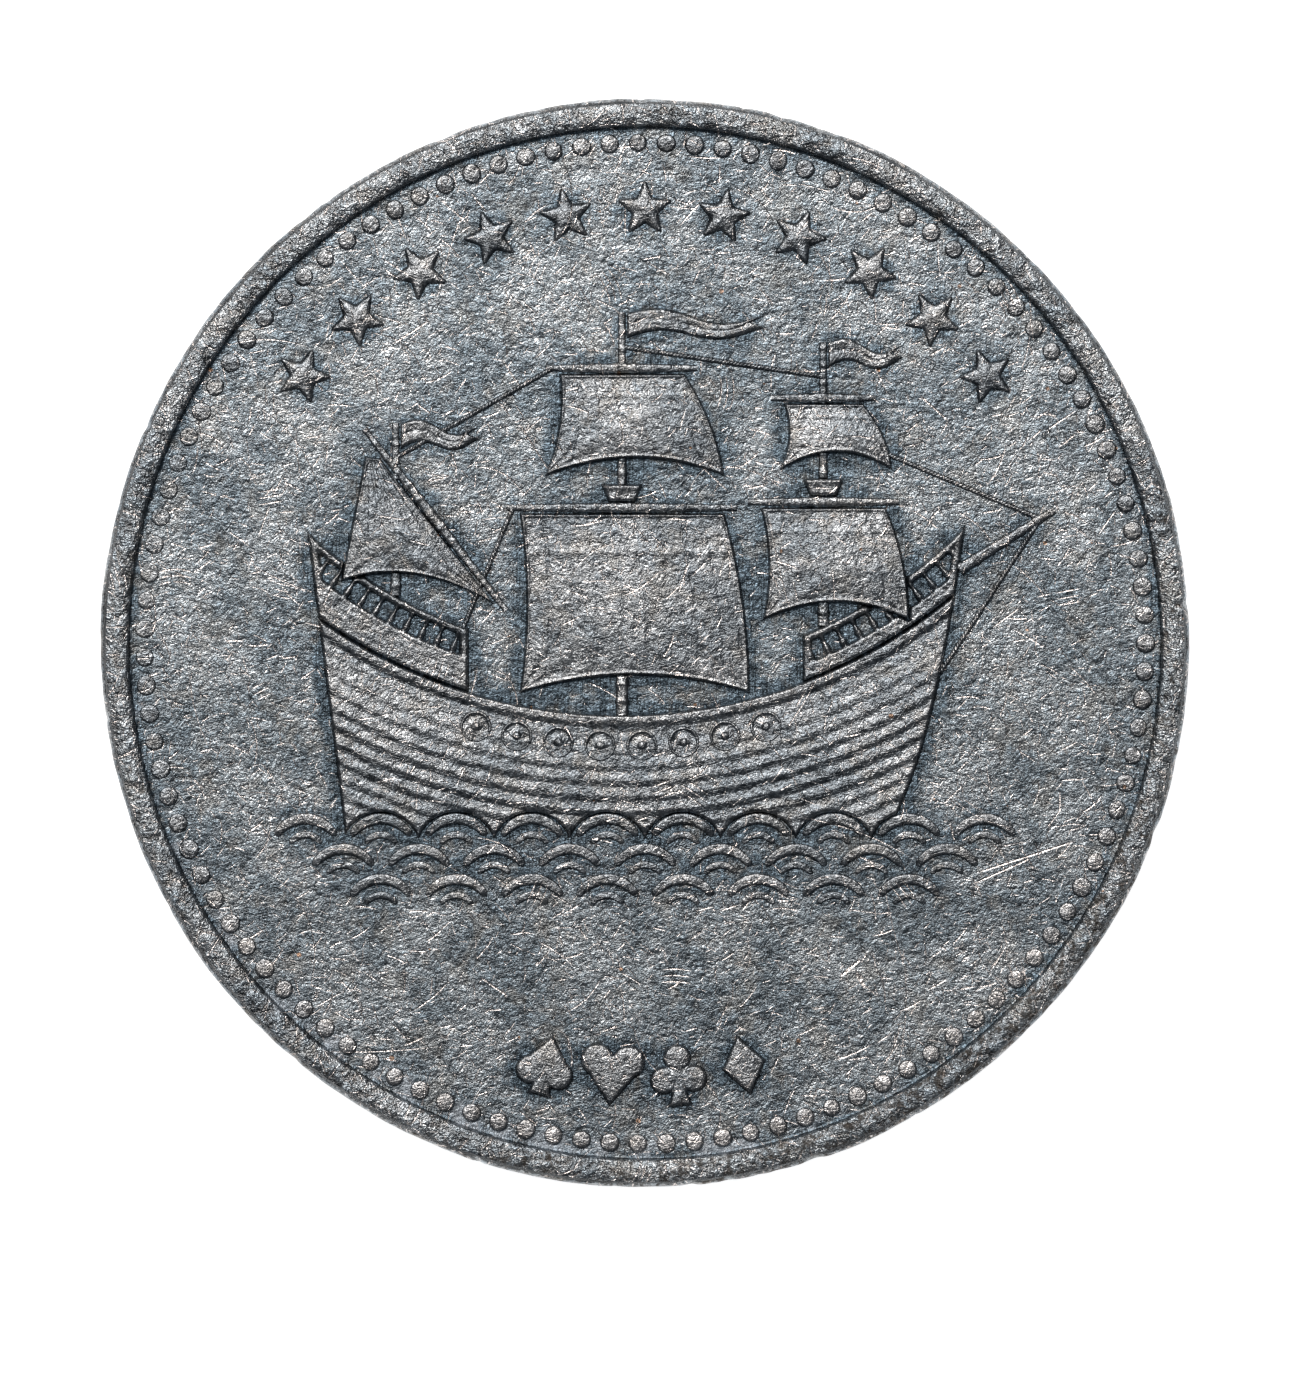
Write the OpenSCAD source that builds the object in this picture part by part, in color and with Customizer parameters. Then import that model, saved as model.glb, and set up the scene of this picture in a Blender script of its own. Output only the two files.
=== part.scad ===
// Struck metal game token, in millimetres.
// It lies on its reverse rim: +Z is up out of the obverse, +Y is the top of the picture.
// The origin is the centre of the reverse rim's resting plane.

/* [Blank] */
// Diameter over the edge
token_d = 26; // [25.5:0.1:30]
// Thickness over the two rims
token_t = 1.6; // [1.3:0.05:2.4]
// Width of each rim, from the edge to the top of its slope
rim_w = 0.62; // [0.5:0.02:0.8]
// Height of each rim above its field
rim_h = 0.24; // [0.2:0.01:0.32]
// Width of the slope from the rim down to the field
rim_slope = 0.1; // [0.06:0.01:0.16]
// Rounding of the corner between rim and edge
edge_r = 0.16; // [0.08:0.01:0.24]

/* [Bead border] */
// Beads in each ring
bead_count = 111; // [90:1:120]
// Diameter of a bead at its foot
bead_d = 0.46; // [0.36:0.02:0.54]
// Height of a bead
bead_h = 0.15; // [0.1:0.01:0.18]
// Bare field between the rim's slope and the beads
bead_gap = 0.11; // [0.06:0.01:0.2]

/* [Star arc] */
// Stars along the top of the obverse
star_count = 11; // [7:1:13]
// Radius of a star's tips
star_r = 0.74; // [0.6:0.02:0.84]
// Radius of a star's inner corners
star_waist_r = 0.31; // [0.24:0.01:0.36]
// Height of a star's middle
star_h = 0.16; // [0.1:0.01:0.18]
// Height of a star's side walls
star_wall = 0.06; // [0.03:0.01:0.08]
// Angle from one star to the next
star_step = 10.4; // [9.6:0.1:12]
// Bare field between the beads and the stars
star_gap = 0.62; // [0.4:0.02:0.8]

/* [Suit row] */
// Height of a suit sign
suit_size = 1.5; // [1.2:0.05:1.7]
// Relief of the suit signs
suit_h = 0.13; // [0.08:0.01:0.16]
// Angle from one suit sign to the next
suit_step = 8.8; // [8:0.1:10]
// Bare field between the beads and the suit signs
suit_gap = 0.62; // [0.4:0.02:0.9]

/* [Hull] */
// Distance of the waterline below the token's centre
waterline_drop = 4.45; // [4.2:0.05:4.7]
// Height of the side above the waterline, amidships
hull_side = 2.75; // [2.4:0.05:3.1]
// Bare field between the beads and the ship's farthest point
picture_gap = 1.37; // [0.8:0.01:1.8]
// Place of the main mast, to the right of the token's centre
main_x = -0.55; // [-1:0.05:0]
// Radius of the arc that the planks follow
sheer_r = 12.5; // [11.5:0.1:15]
// Planks on the side
plank_count = 7; // [5:1:8]
// Height of the lap from one plank to the next
plank_lap = 0.035; // [0.02:0.005:0.05]
// Height of the side at the waterline and under the rail
hull_edge_h = 0.1; // [0.07:0.01:0.12]
// Height of the side at its fullest, laps left out
hull_full_h = 0.16; // [0.13:0.01:0.17]
// Width of the rail along the top of the side
rail_w = 0.26; // [0.18:0.02:0.32]
// Hull from the fore mast to the stem at the waterline
bow_overhang = 1.7; // [1.4:0.05:2.1]
// Hull from the mizzen mast to the stern at the waterline
stern_overhang = 1.15; // [0.9:0.05:1.5]
// How far the stem leans out above the waterline
stem_rake = 1.55; // [1.2:0.05:1.9]
// How far the stern leans out above the waterline
stern_rake = 0.85; // [0.5:0.05:1.1]

/* [Castles] */
// Height of the stern castle above the rail
stern_castle_h = 1.45; // [1.2:0.05:1.7]
// Length of the stern castle forward of the mizzen mast
stern_castle_len = 1.75; // [1.4:0.05:2]
// Height of the bow castle above the rail
bow_castle_h = 1.05; // [0.8:0.05:1.3]
// Length of the bow castle aft of the fore mast
bow_castle_len = 0.5; // [0.3:0.05:0.8]
// Width of a castle's cap rail
cap_w = 0.22; // [0.16:0.02:0.28]
// Width of a baluster
baluster_w = 0.16; // [0.12:0.01:0.2]
// Height of the gap that the balusters stand in
baluster_gap = 0.42; // [0.3:0.02:0.5]
// Distance from one baluster to the next
baluster_pitch = 0.44; // [0.4:0.02:0.6]
// Width of the post at each end of a castle
post_w = 0.24; // [0.18:0.02:0.3]
// Height of the castles' relief
castle_h = 0.17; // [0.12:0.01:0.19]

/* [Shields] */
// Round shields along the side
shield_count = 8; // [5:1:9]
// Diameter of a shield
shield_d = 0.78; // [0.6:0.02:0.84]
// Height of a shield's middle
shield_h = 0.2; // [0.16:0.01:0.22]
// Distance from one shield to the next
shield_pitch = 1.0; // [0.92:0.02:1.1]
// Bare plank between the rail and the shields
shield_drop = 0.1; // [0.05:0.01:0.3]

/* [Sails] */
// Half width of the main course at its head
main_head = 2.45; // [2.1:0.05:2.7]
// Half width of the main course at its foot
main_foot = 2.75; // [2.5:0.05:3]
// Height of the main course
main_course_h = 4.3; // [3.9:0.05:4.6]
// Half width of the main topsail at its head
main_top_head = 1.5; // [1.2:0.05:1.8]
// Half width of the main topsail at its foot
main_top_foot = 2.15; // [1.9:0.05:2.3]
// Height of the main topsail
main_topsail_h = 2.45; // [2.1:0.05:2.6]
// Half width of the fore course at its head
fore_head = 1.5; // [1.2:0.05:1.7]
// Half width of the fore course at its foot
fore_foot = 1.75; // [1.5:0.05:1.9]
// Height of the fore course
fore_course_h = 2.7; // [2.3:0.05:3]
// Half width of the fore topsail at its head
fore_top_head = 0.95; // [0.75:0.05:1.1]
// Half width of the fore topsail at its foot
fore_top_foot = 1.35; // [1.2:0.05:1.5]
// Height of the fore topsail
fore_topsail_h = 1.6; // [1.4:0.05:1.8]
// Length of the mizzen sail along its yard
mizzen_yard_len = 4.9; // [4.4:0.05:5.2]
// Slope of the mizzen yard, in degrees
mizzen_slope = 52; // [48:1:56]
// Length of the mizzen sail's loose edge
mizzen_leech = 3.4; // [3:0.05:3.7]
// Lean of the mizzen sail's loose edge, in degrees
mizzen_leech_lean = 11; // [6:1:14]
// Part of the mizzen yard that lies forward of its mast
mizzen_yard_fore = 2.35; // [2.1:0.05:2.5]
// How far the wind carries a sail's foot sideways
sail_lean = 0.3; // [0.15:0.05:0.4]
// How far the wind bows a sail's sides
sail_belly = 0.32; // [0.2:0.02:0.4]
// How far a sail's foot arches up
sail_roach = 0.42; // [0.3:0.02:0.5]
// Height of a sail's edges
sail_edge_h = 0.09; // [0.06:0.01:0.11]
// Height of a sail at its fullest
sail_full_h = 0.22; // [0.17:0.01:0.22]
// Bare field between a sail and its neighbour on the next mast
sail_gap = 0.3; // [0.2:0.02:0.5]
// Bare field between the rail and the main course's corners
course_lift = 0.5; // [0.3:0.05:0.6]
// Height of the fore course's loose corner above the rail
clew_lift = 0.18; // [0.12:0.02:0.3]

/* [Spars] */
// Radius of a mast at deck level
mast_r = 0.17; // [0.14:0.01:0.19]
// Radius of a mast at its head
mast_head_r = 0.09; // [0.07:0.01:0.11]
// Radius of a yard at its middle
yard_r = 0.13; // [0.1:0.01:0.15]
// Radius of a yard at its ends
yard_end_r = 0.07; // [0.05:0.01:0.08]
// Yard standing out past the sail at each end
yard_arm = 0.3; // [0.2:0.02:0.4]
// Mast between a course's yard and the topsail's foot
top_gap = 0.62; // [0.55:0.02:0.7]
// Mast above the topsail's yard
mast_head = 1.2; // [1.1:0.05:1.3]
// Mizzen mast above the crossing with its yard
mizzen_cross_drop = 1.3; // [1.15:0.05:1.45]
// Mizzen mast above the stern castle
mizzen_mast_h = 4.1; // [3.8:0.05:4.3]
// Length of the bowsprit
bowsprit_len = 3.9; // [3.5:0.05:4.1]
// Steeve of the bowsprit, in degrees
bowsprit_steeve = 32; // [28:1:36]
// Width of a fighting top at its rim
nest_w = 1.0; // [0.8:0.05:1.1]
// Width of a fighting top at its floor
nest_floor_w = 0.66; // [0.5:0.02:0.72]
// Height of a fighting top
nest_tall = 0.44; // [0.36:0.02:0.5]
// Relief of a fighting top
nest_h = 0.2; // [0.18:0.01:0.22]

/* [Pennants] */
// Length of the main mast's pennant
main_pennant = 3.3; // [2.8:0.1:3.6]
// Length of the fore mast's pennant
fore_pennant = 1.8; // [1.5:0.1:2]
// Length of the mizzen mast's pennant
mizzen_pennant = 1.9; // [1.5:0.1:2.2]
// Width of a pennant at the mast
pennant_w = 0.62; // [0.5:0.02:0.7]
// How far a pennant waves up and down
pennant_wave = 0.14; // [0.08:0.01:0.18]
// Depth of the notch between a pennant's two tails
pennant_notch = 0.42; // [0.3:0.02:0.5]
// Bare field between a mast and its pennant
pennant_gap = 0.03; // [0.02:0.01:0.06]
// Relief of the pennants
pennant_h = 0.12; // [0.09:0.01:0.15]

/* [Rigging] */
// Width of a rope
rope_w = 0.13; // [0.1:0.01:0.16]
// Mast between a pennant and the stays below it
stay_drop = 0.2; // [0.15:0.05:0.3]
// Bowsprit outside the stay's end
stay_back = 0.4; // [0.2:0.05:0.6]
// Relief of a rope
rope_h = 0.08; // [0.06:0.01:0.1]

/* [Sea] */
// Radius of a wave's outer edge
crest_r = 0.95; // [0.88:0.01:1.02]
// Distance from one wave to the next
crest_pitch = 1.8; // [1.76:0.01:1.86]
// Waves in the top row
crest_count = 10; // [8:1:10]
// Rows of waves
sea_rows = 3; // [2:1:3]
// Distance from one row of waves to the next
sea_row_drop = 0.72; // [0.68:0.01:0.8]
// Depth of the wave centres below the waterline
sea_depth = 0.55; // [0.45:0.05:0.7]
// Width of a wave's outer ridge
crest_w = 0.27; // [0.22:0.01:0.3]
// Width of a wave's inner ridge
ripple_w = 0.18; // [0.14:0.01:0.2]
// Bare field between a wave's two ridges
ripple_gap = 0.16; // [0.12:0.01:0.2]

/* [Wind rose] */
// Reach of the rose's four long points
rose_long = 7.3; // [6.5:0.1:7.6]
// Reach of the rose's four short points
rose_short = 4.6; // [4:0.1:5]
// Radius of the rose's inner corners
rose_waist = 1.75; // [1.5:0.05:2]
// Height of the rose's middle
rose_h = 0.2; // [0.14:0.01:0.2]
// Height of the rose's side walls
rose_wall = 0.06; // [0.03:0.01:0.08]
// Bare field between the long points and the ring
ring_gap = 0.7; // [0.5:0.05:0.9]
// Width of the ring round the rose
ring_w = 0.44; // [0.36:0.02:0.5]
// Height of the ring and of the studs
ring_h = 0.15; // [0.1:0.01:0.18]
// Studs outside the ring
stud_count = 32; // [24:1:40]
// Diameter of a stud
stud_d = 0.56; // [0.44:0.02:0.6]
// Bare field between the ring and the studs
stud_gap = 0.42; // [0.3:0.02:0.6]

/* [Hidden] */
$fn = 64;

// Points along a sail's edge, along a pennant and along the stem
sail_steps = 10;
pennant_steps = 18;
stem_steps = 8;

// Facets of the wide arcs
wide_fn = 256;

// Levels and radii of the blank
obverse_z = token_t - rim_h;
reverse_z = rim_h;
token_r = token_d / 2;
field_r = token_r - rim_w - rim_slope;
bead_ring_r = field_r - bead_gap - bead_d / 2;
border_r = bead_ring_r - bead_d / 2;
star_ring_r = border_r - star_gap - star_r;
suit_ring_r = border_r - suit_gap - suit_size / 2;

// The ship's places along X: each mast stands clear of its neighbour's sails
fore_x = main_x + main_foot + sail_gap + fore_foot;
mizzen_x = main_x - main_head - yard_arm - sail_gap - mizzen_yard_fore;
stern_x = mizzen_x - stern_overhang;
stem_x = fore_x + bow_overhang;

// The planks are rings about a point above the ship, midway between stem and stern
hull_mid_x = (stern_x + stem_x) / 2;
waterline_y = -waterline_drop;
sea_y = waterline_y - sea_depth;
sheer_y = waterline_y + hull_side + sheer_r;
plank_w = (hull_side - rail_w) / plank_count;

// Height of the rail's top edge, or of another ring about the same point, at a place along the ship
function ring_y(x, r = sheer_r) = sheer_y - sqrt(r * r - pow(x - hull_mid_x, 2));

// The stern is a straight line and the stem a curve, both from the sea to a point above the rail
side_top_y = ring_y(stern_x - stern_rake) + bow_castle_h;
stern_foot = [stern_x, sea_y];
stern_head = [stern_x - stern_rake, side_top_y];
stem_foot = [stem_x - stem_rake / 3, sea_y];
stem_knee = [stem_x + stem_rake / 2, waterline_y + hull_side / 3];
stem_head = [stem_x + stem_rake, side_top_y];
stem_curve = bend(stem_foot, stem_knee, stem_head, stem_steps);

// Heights up the masts
main_foot_y = ring_y(main_x) + course_lift;
main_head_y = main_foot_y + main_course_h;
main_top_foot_y = main_head_y + 2 * yard_r + top_gap;
main_top_head_y = main_top_foot_y + main_topsail_h;
main_truck_y = main_top_head_y + 2 * yard_r + mast_head;
fore_foot_y = ring_y(fore_x + fore_foot + sail_lean) + clew_lift;
fore_head_y = fore_foot_y + fore_course_h;
fore_top_foot_y = fore_head_y + 2 * yard_r + top_gap;
fore_top_head_y = fore_top_foot_y + fore_topsail_h;
fore_truck_y = fore_top_head_y + 2 * yard_r + mast_head;
mizzen_truck_y = ring_y(mizzen_x, sheer_r - stern_castle_h) + mizzen_mast_h;

// The three masts, each as [x, head y, length of its pennant]
main_mast = [main_x, main_truck_y, main_pennant];
fore_mast = [fore_x, fore_truck_y, fore_pennant];
mizzen_mast = [mizzen_x, mizzen_truck_y, mizzen_pennant];
all_masts = [main_mast, fore_mast, mizzen_mast];

// The four square sails, each as [mast x, foot y, head y, half foot, half head]
main_course_at = [main_x, main_foot_y, main_head_y, main_foot, main_head];
main_topsail_at = [main_x, main_top_foot_y, main_top_head_y, main_top_foot, main_top_head];
fore_course_at = [fore_x, fore_foot_y, fore_head_y, fore_foot, fore_head];
fore_topsail_at = [fore_x, fore_top_foot_y, fore_top_head_y, fore_top_foot, fore_top_head];
square_sails = [main_course_at, main_topsail_at, fore_course_at, fore_topsail_at];

// The mizzen sail's corners: lower and upper end of its yard, and its loose corner
mizzen_run = [-cos(mizzen_slope), sin(mizzen_slope)];
mizzen_tack = [mizzen_x + mizzen_yard_fore,
    mizzen_truck_y - mizzen_cross_drop - mizzen_yard_fore * tan(mizzen_slope)];
mizzen_peak = mizzen_tack + mizzen_yard_len * mizzen_run;
mizzen_clew = mizzen_peak - mizzen_leech * [sin(mizzen_leech_lean), cos(mizzen_leech_lean)];

// The mizzen yard lies along the sail and stands out past it at both ends
mizzen_yard_side = yard_r * [mizzen_run[1], -mizzen_run[0]];
mizzen_yard_foot = mizzen_tack + mizzen_yard_side - yard_arm * mizzen_run;
mizzen_yard_head = mizzen_peak + mizzen_yard_side + yard_arm * mizzen_run;

// The bowsprit starts inside the bow, under the castle's cap
sprit_run = [cos(bowsprit_steeve), sin(bowsprit_steeve)];
sprit_root = [stem_x + stem_rake / 3, ring_y(stem_x + stem_rake / 3, sheer_r - bow_castle_h / 2)];
sprit_tip = sprit_root + bowsprit_len * sprit_run;

// The ship is drawn about the token's centre, and then reduced or enlarged to fit inside the beads
sea_end = [(crest_count - 1) / 2 * crest_pitch + crest_r, sea_y];
picture_reach = max(norm(sprit_tip), norm(sea_end), norm(stern_head));
picture_k = (border_r - picture_gap) / picture_reach;

// Wave ridges start and end this far round from the level
ridge_from = 30;

// Cutters reach above the highest relief
cut_h = 2 * rim_h;

// The height to draw in the picture for a relief of height h on the token
function up(h) = h / picture_k;

// Points on a curve from a to c, drawn aside towards b
function bend(a, b, c, n) =
    [for (i = [0:n]) let (t = i / n) (1 - t) * (1 - t) * a + 2 * t * (1 - t) * b + t * t * c];

// A bump that is 0 at both ends of 0 to 1 and 1 in the middle
function bump(t) = 4 * t * (1 - t);

function flat(p) = [p[0], p[1]];

// Height of a sail's cloth over the field: u runs across it, v from its foot to its head
function sail_height(u, v) =
    up(sail_edge_h + (sail_full_h - sail_edge_h) * sqrt(bump(u)) * sin(180 * pow(v, 0.8)));

// A point of a square sail
function square_sail_point(sail, u, v) =
    let (half = sail[3] + (sail[4] - sail[3]) * v,
        x = sail[0] + (2 * u - 1) * half + sail_lean * (1 - v) + sail_belly / 2 * bump(v),
        y = sail[1] + (sail[2] - sail[1]) * v + sail_roach * bump(u) * pow(1 - v, 2))
    [x, y, sail_height(u, v)];

function square_sail_grid(sail) =
    [for (j = [0:sail_steps]) [for (i = [0:sail_steps])
        square_sail_point(sail, i / sail_steps, j / sail_steps)]];

// A point of the mizzen sail: u runs from its loose edge to its yard, v from its foot to its peak
function mizzen_point(u, v) =
    let (loose = mizzen_clew + (mizzen_peak - mizzen_clew) * v * (1 - mizzen_blunt),
        bound = mizzen_tack + (mizzen_peak - mizzen_tack) * v * (1 - mizzen_blunt),
        p = loose + (bound - loose) * u,
        arch = sail_roach * bump(u) * pow(1 - v, 3))
    [p[0], p[1] + arch, sail_height(u, v)];

// How much of the mizzen sail's length its blunt peak leaves out
mizzen_blunt = 0.1;

function mizzen_grid() =
    [for (j = [0:sail_steps]) [for (i = [0:sail_steps])
        mizzen_point(i / sail_steps, j / sail_steps)]];

// A pennant narrows along its length, waves, and ends in two tails
function pennant_grid(mast) =
    [for (j = [0:2]) [for (i = [0:pennant_steps])
        let (t = i / pennant_steps,
            half = pennant_w / 2 * (1 - t / 2),
            wave = 400 * t,
            notch = j == 1 ? pennant_notch * pow(t, 6) : 0,
            x = mast[0] + mast_head_r + pennant_gap + t * mast[2] - notch,
            y = mast[1] - pennant_w / 2 + (j - 1) * half + pennant_wave * sin(wave),
            z = up(pennant_h * (0.8 + 0.2 * cos(wave))))
        [x, y, z]]];

// Places round the edge of a grid of points with so many rows and columns, once round
function edge_places(rows, cols) =
    concat(
        [for (i = [0:cols - 1]) [0, i]],
        [for (j = [1:rows - 1]) [j, cols - 1]],
        [for (i = [1:cols - 1]) [rows - 1, cols - 1 - i]],
        [for (j = [1:rows - 2]) [rows - 1 - j, 0]]);

// Outline of a grid of points, without its heights
function outline(grid) = [for (p = edge_places(len(grid), len(grid[0]))) flat(grid[p[0]][p[1]])];

// A solid from the field up to a grid of points
module cloth(grid) {
    rows = len(grid);
    cols = len(grid[0]);
    count = rows * cols;
    top = [for (row = grid, p = row) p];
    base = [for (p = top) [p[0], p[1], 0]];
    quads = [for (j = [0:rows - 2], i = [0:cols - 2])
        [j * cols + i, j * cols + i + 1, (j + 1) * cols + i + 1, (j + 1) * cols + i]];
    edge = [for (p = edge_places(rows, cols)) p[0] * cols + p[1]];
    turns = len(edge);
    polyhedron(
        points = concat(top, base),
        faces = concat(
            [for (q = quads) each [[q[0], q[2], q[1]], [q[0], q[3], q[2]]]],
            [for (q = quads) each [[count + q[0], count + q[1], count + q[2]],
                [count + q[0], count + q[2], count + q[3]]]],
            [for (k = [0:turns - 1])
                let (a = edge[k], b = edge[(k + 1) % turns])
                each [[a, b, count + b], [a, count + b, count + a]]]));
}

module on_obverse() {
    translate([0, 0, obverse_z]) children();
}

module in_picture() {
    on_obverse() scale(picture_k) children();
}

module on_reverse() {
    translate([0, 0, reverse_z]) rotate([180, 0, 0]) children();
}

// A dome on the field
module dome(d, h) {
    ball_r = (d * d / 4 + h * h) / (2 * h);
    rotate_extrude() intersection() {
        translate([0, h - ball_r]) circle(ball_r);
        square([d, h]);
    }
}

// A star with a ridge down each arm, from its tips' radii and its waist
module faceted_star(tips, waist, h, wall) {
    n = len(tips);
    m = 2 * n;
    ring = [for (i = [0:n - 1]) each [
        tips[i] * [cos(360 * i / n), sin(360 * i / n)],
        waist * [cos(360 * (i + 0.5) / n), sin(360 * (i + 0.5) / n)]]];
    polyhedron(
        points = concat(
            [for (p = ring) [p[0], p[1], wall]],
            [for (p = ring) [p[0], p[1], 0]],
            [[0, 0, h], [0, 0, 0]]),
        faces = concat(
            [for (i = [0:m - 1]) [2 * m, (i + 1) % m, i]],
            [for (i = [0:m - 1]) [2 * m + 1, m + i, m + (i + 1) % m]],
            [for (i = [0:m - 1])
                let (k = (i + 1) % m)
                each [[i, k, m + k], [i, m + k, m + i]]]));
}

// Half a tapered round bar lying on the field, from one point to another
module half_spar(p, q, rp, rq) {
    run = q - p;
    length = norm(run);
    translate([p[0], p[1], 0]) rotate([0, 0, atan2(run[1], run[0])])
        rotate([0, 90, 0]) rotate([0, 0, 90])
            rotate_extrude(angle = 180) polygon([[0, 0], [rp, 0], [rq, length], [0, length]]);
}

// A flat strip from one point to another
module strip(p, q, w) {
    run = q - p;
    translate(p) rotate(atan2(run[1], run[0])) translate([0, -w / 2]) square([norm(run), w]);
}

// A flat ring about the planks' common centre
module plank_ring(r_in, r_out) {
    translate([hull_mid_x, sheer_y]) difference() {
        circle(r_out, $fn = wide_fn);
        circle(r_in, $fn = wide_fn);
    }
}

// Footprints, by which what lies in front cuts what lies behind
module sail_plan() {
    for (sail = square_sails) polygon(outline(square_sail_grid(sail)));
    polygon(outline(mizzen_grid()));
}

module yard_plan() {
    for (sail = square_sails)
        translate([sail[0] - sail[4] - yard_arm, sail[2]]) square([2 * (sail[4] + yard_arm), 2 * yard_r]);
    strip(mizzen_yard_foot - mizzen_yard_side / 2, mizzen_yard_head - mizzen_yard_side / 2, 3 * yard_r);
}

module mast_plan() {
    for (mast = all_masts)
        translate([mast[0] - mast_r, ring_y(mast[0])]) square([2 * mast_r, mast[1] - ring_y(mast[0])]);
}

// The fighting tops, each on the yard of a course
module top_plan() {
    for (sail = [main_course_at, fore_course_at])
        translate([sail[0], sail[2] + 2 * yard_r])
            polygon([[-nest_floor_w / 2, 0], [nest_floor_w / 2, 0],
                [nest_w / 2, nest_tall], [-nest_w / 2, nest_tall]]);
}

module pennant_plan() {
    for (mast = all_masts) polygon(outline(pennant_grid(mast)));
}

// The side of the ship between stern and stem, down to the top row of waves
module side_plan() {
    difference() {
        intersection() {
            polygon(concat([stern_foot], stem_curve, [stern_head]));
            plank_ring(sheer_r, sheer_r + 2 * (hull_side + sea_depth));
        }
        for (i = [0:crest_count - 1])
            translate([(i - (crest_count - 1) / 2) * crest_pitch, sea_y]) circle(crest_r);
    }
}

// The space between two lines, each of which runs up from a foot to a head
module between(left, right) {
    polygon([left[0], right[0], right[1], left[1]]);
}

function moved(line, x) = [for (p = line) p + [x, 0]];

// The line from one point through another, carried on to the height of the planks' centre
function line_up(p, q) = [p, p + (sheer_y - p[1]) / (q[1] - p[1]) * (q - p)];

// The end lines of the castles: the outer ones carry on the stern and the stem
stern_line = line_up(stern_foot, stern_head);
stern_front = [for (p = stern_line) [mizzen_x + stern_castle_len, p[1]]];
bow_line = line_up(stem_knee, stem_head);
bow_back = [for (p = bow_line) [fore_x - bow_castle_len, p[1]]];

// The outlines of the castles
module stern_castle_plan() {
    intersection() {
        between(stern_line, stern_front);
        plank_ring(sheer_r - stern_castle_h, sheer_r);
    }
}

module bow_castle_plan() {
    intersection() {
        between(bow_back, bow_line);
        plank_ring(sheer_r - bow_castle_h, sheer_r);
    }
}

module ship_plan() {
    side_plan();
    stern_castle_plan();
    bow_castle_plan();
}

module blank() {
    color([0.62, 0.64, 0.66]) rotate_extrude($fn = wide_fn) difference() {
        polygon([
            [0, reverse_z], [field_r, reverse_z], [field_r + rim_slope, 0], [token_r, 0],
            [token_r, token_t], [field_r + rim_slope, token_t], [field_r, obverse_z], [0, obverse_z]]);
        translate([token_r - edge_r, token_t - edge_r]) edge_corner();
        translate([token_r - edge_r, edge_r]) mirror([0, 1]) edge_corner();
    }
}

// What the rounding takes off the upper outer corner
module edge_corner() {
    difference() {
        square(2 * edge_r);
        circle(edge_r);
    }
}

module bead_ring() {
    for (i = [0:bead_count - 1])
        rotate(360 * i / bead_count) translate([bead_ring_r, 0, 0]) dome(bead_d, bead_h);
}

module obverse_beads() {
    color([0.72, 0.72, 0.72]) on_obverse() bead_ring();
}

module reverse_beads() {
    color([0.72, 0.72, 0.72]) on_reverse() bead_ring();
}

module star_arc() {
    tips = [for (i = [1:5]) star_r];
    color([0.7, 0.7, 0.7]) on_obverse()
        for (i = [0:star_count - 1])
            rotate(90 + (i - (star_count - 1) / 2) * star_step)
                translate([star_ring_r, 0, 0]) faceted_star(tips, star_waist_r, star_h, star_wall);
}

// Each suit sign stands upright in a box as tall as the sign
module suit_stem() {
    polygon([[-suit_size / 5, -suit_size / 2], [suit_size / 5, -suit_size / 2],
        [suit_size / 20, 0], [-suit_size / 20, 0]]);
}

module heart() {
    lobe = suit_size * 0.27;
    side = 0.92 * lobe;
    for (way = [-1, 1]) translate([way * side, suit_size / 2 - lobe]) circle(lobe);
    polygon([[-2 * side, suit_size / 2 - 1.3 * lobe], [0, -suit_size / 2],
        [2 * side, suit_size / 2 - 1.3 * lobe], [0, suit_size / 2 - 0.6 * lobe]]);
}

module spade() {
    lobe = suit_size * 0.24;
    side = 0.94 * lobe;
    low = -suit_size * 0.12;
    for (way = [-1, 1]) translate([way * side, low]) circle(lobe);
    polygon([[-2 * side, low + lobe / 4], [0, low - lobe / 2],
        [2 * side, low + lobe / 4], [0, suit_size / 2]]);
    suit_stem();
}

module club() {
    lobe = suit_size * 0.225;
    centres = [[0, suit_size / 2 - lobe], [-1.05 * lobe, -0.3 * lobe], [1.05 * lobe, -0.3 * lobe]];
    for (centre = centres) translate(centre) circle(lobe);
    polygon(centres);
    suit_stem();
}

module diamond() {
    half_w = suit_size * 0.36;
    polygon([[0, suit_size / 2], [half_w, 0], [0, -suit_size / 2], [-half_w, 0]]);
}

module suit_row() {
    color([0.7, 0.7, 0.7]) on_obverse() for (i = [0:3])
        rotate(-90 + (i - 1.5) * suit_step) translate([suit_ring_r, 0, 0]) rotate(90)
            linear_extrude(suit_h) {
                if (i == 0) spade();
                if (i == 1) heart();
                if (i == 2) club();
                if (i == 3) diamond();
            }
}

// The planks' section, from the rail outwards and down past the lowest corner of the side
module plank_section() {
    far_r = norm([stem_x + stem_rake - hull_mid_x, sheer_y - sea_y]);
    rings = ceil((far_r - sheer_r - rail_w) / plank_w);
    polygon(concat(
        [[sheer_r, 0], [sheer_r, up(hull_full_h)], [sheer_r + rail_w, up(hull_full_h)]],
        [for (k = [0:rings - 1]) each
            let (r = sheer_r + rail_w + k * plank_w,
                swell = sin(180 * min(1, (k + 0.5) / plank_count)),
                h = hull_edge_h + (hull_full_h - hull_edge_h) * swell)
            [[r, up(h)], [r + plank_w, up(h + plank_lap)]]],
        [[sheer_r + rail_w + rings * plank_w, 0]]));
}

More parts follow.
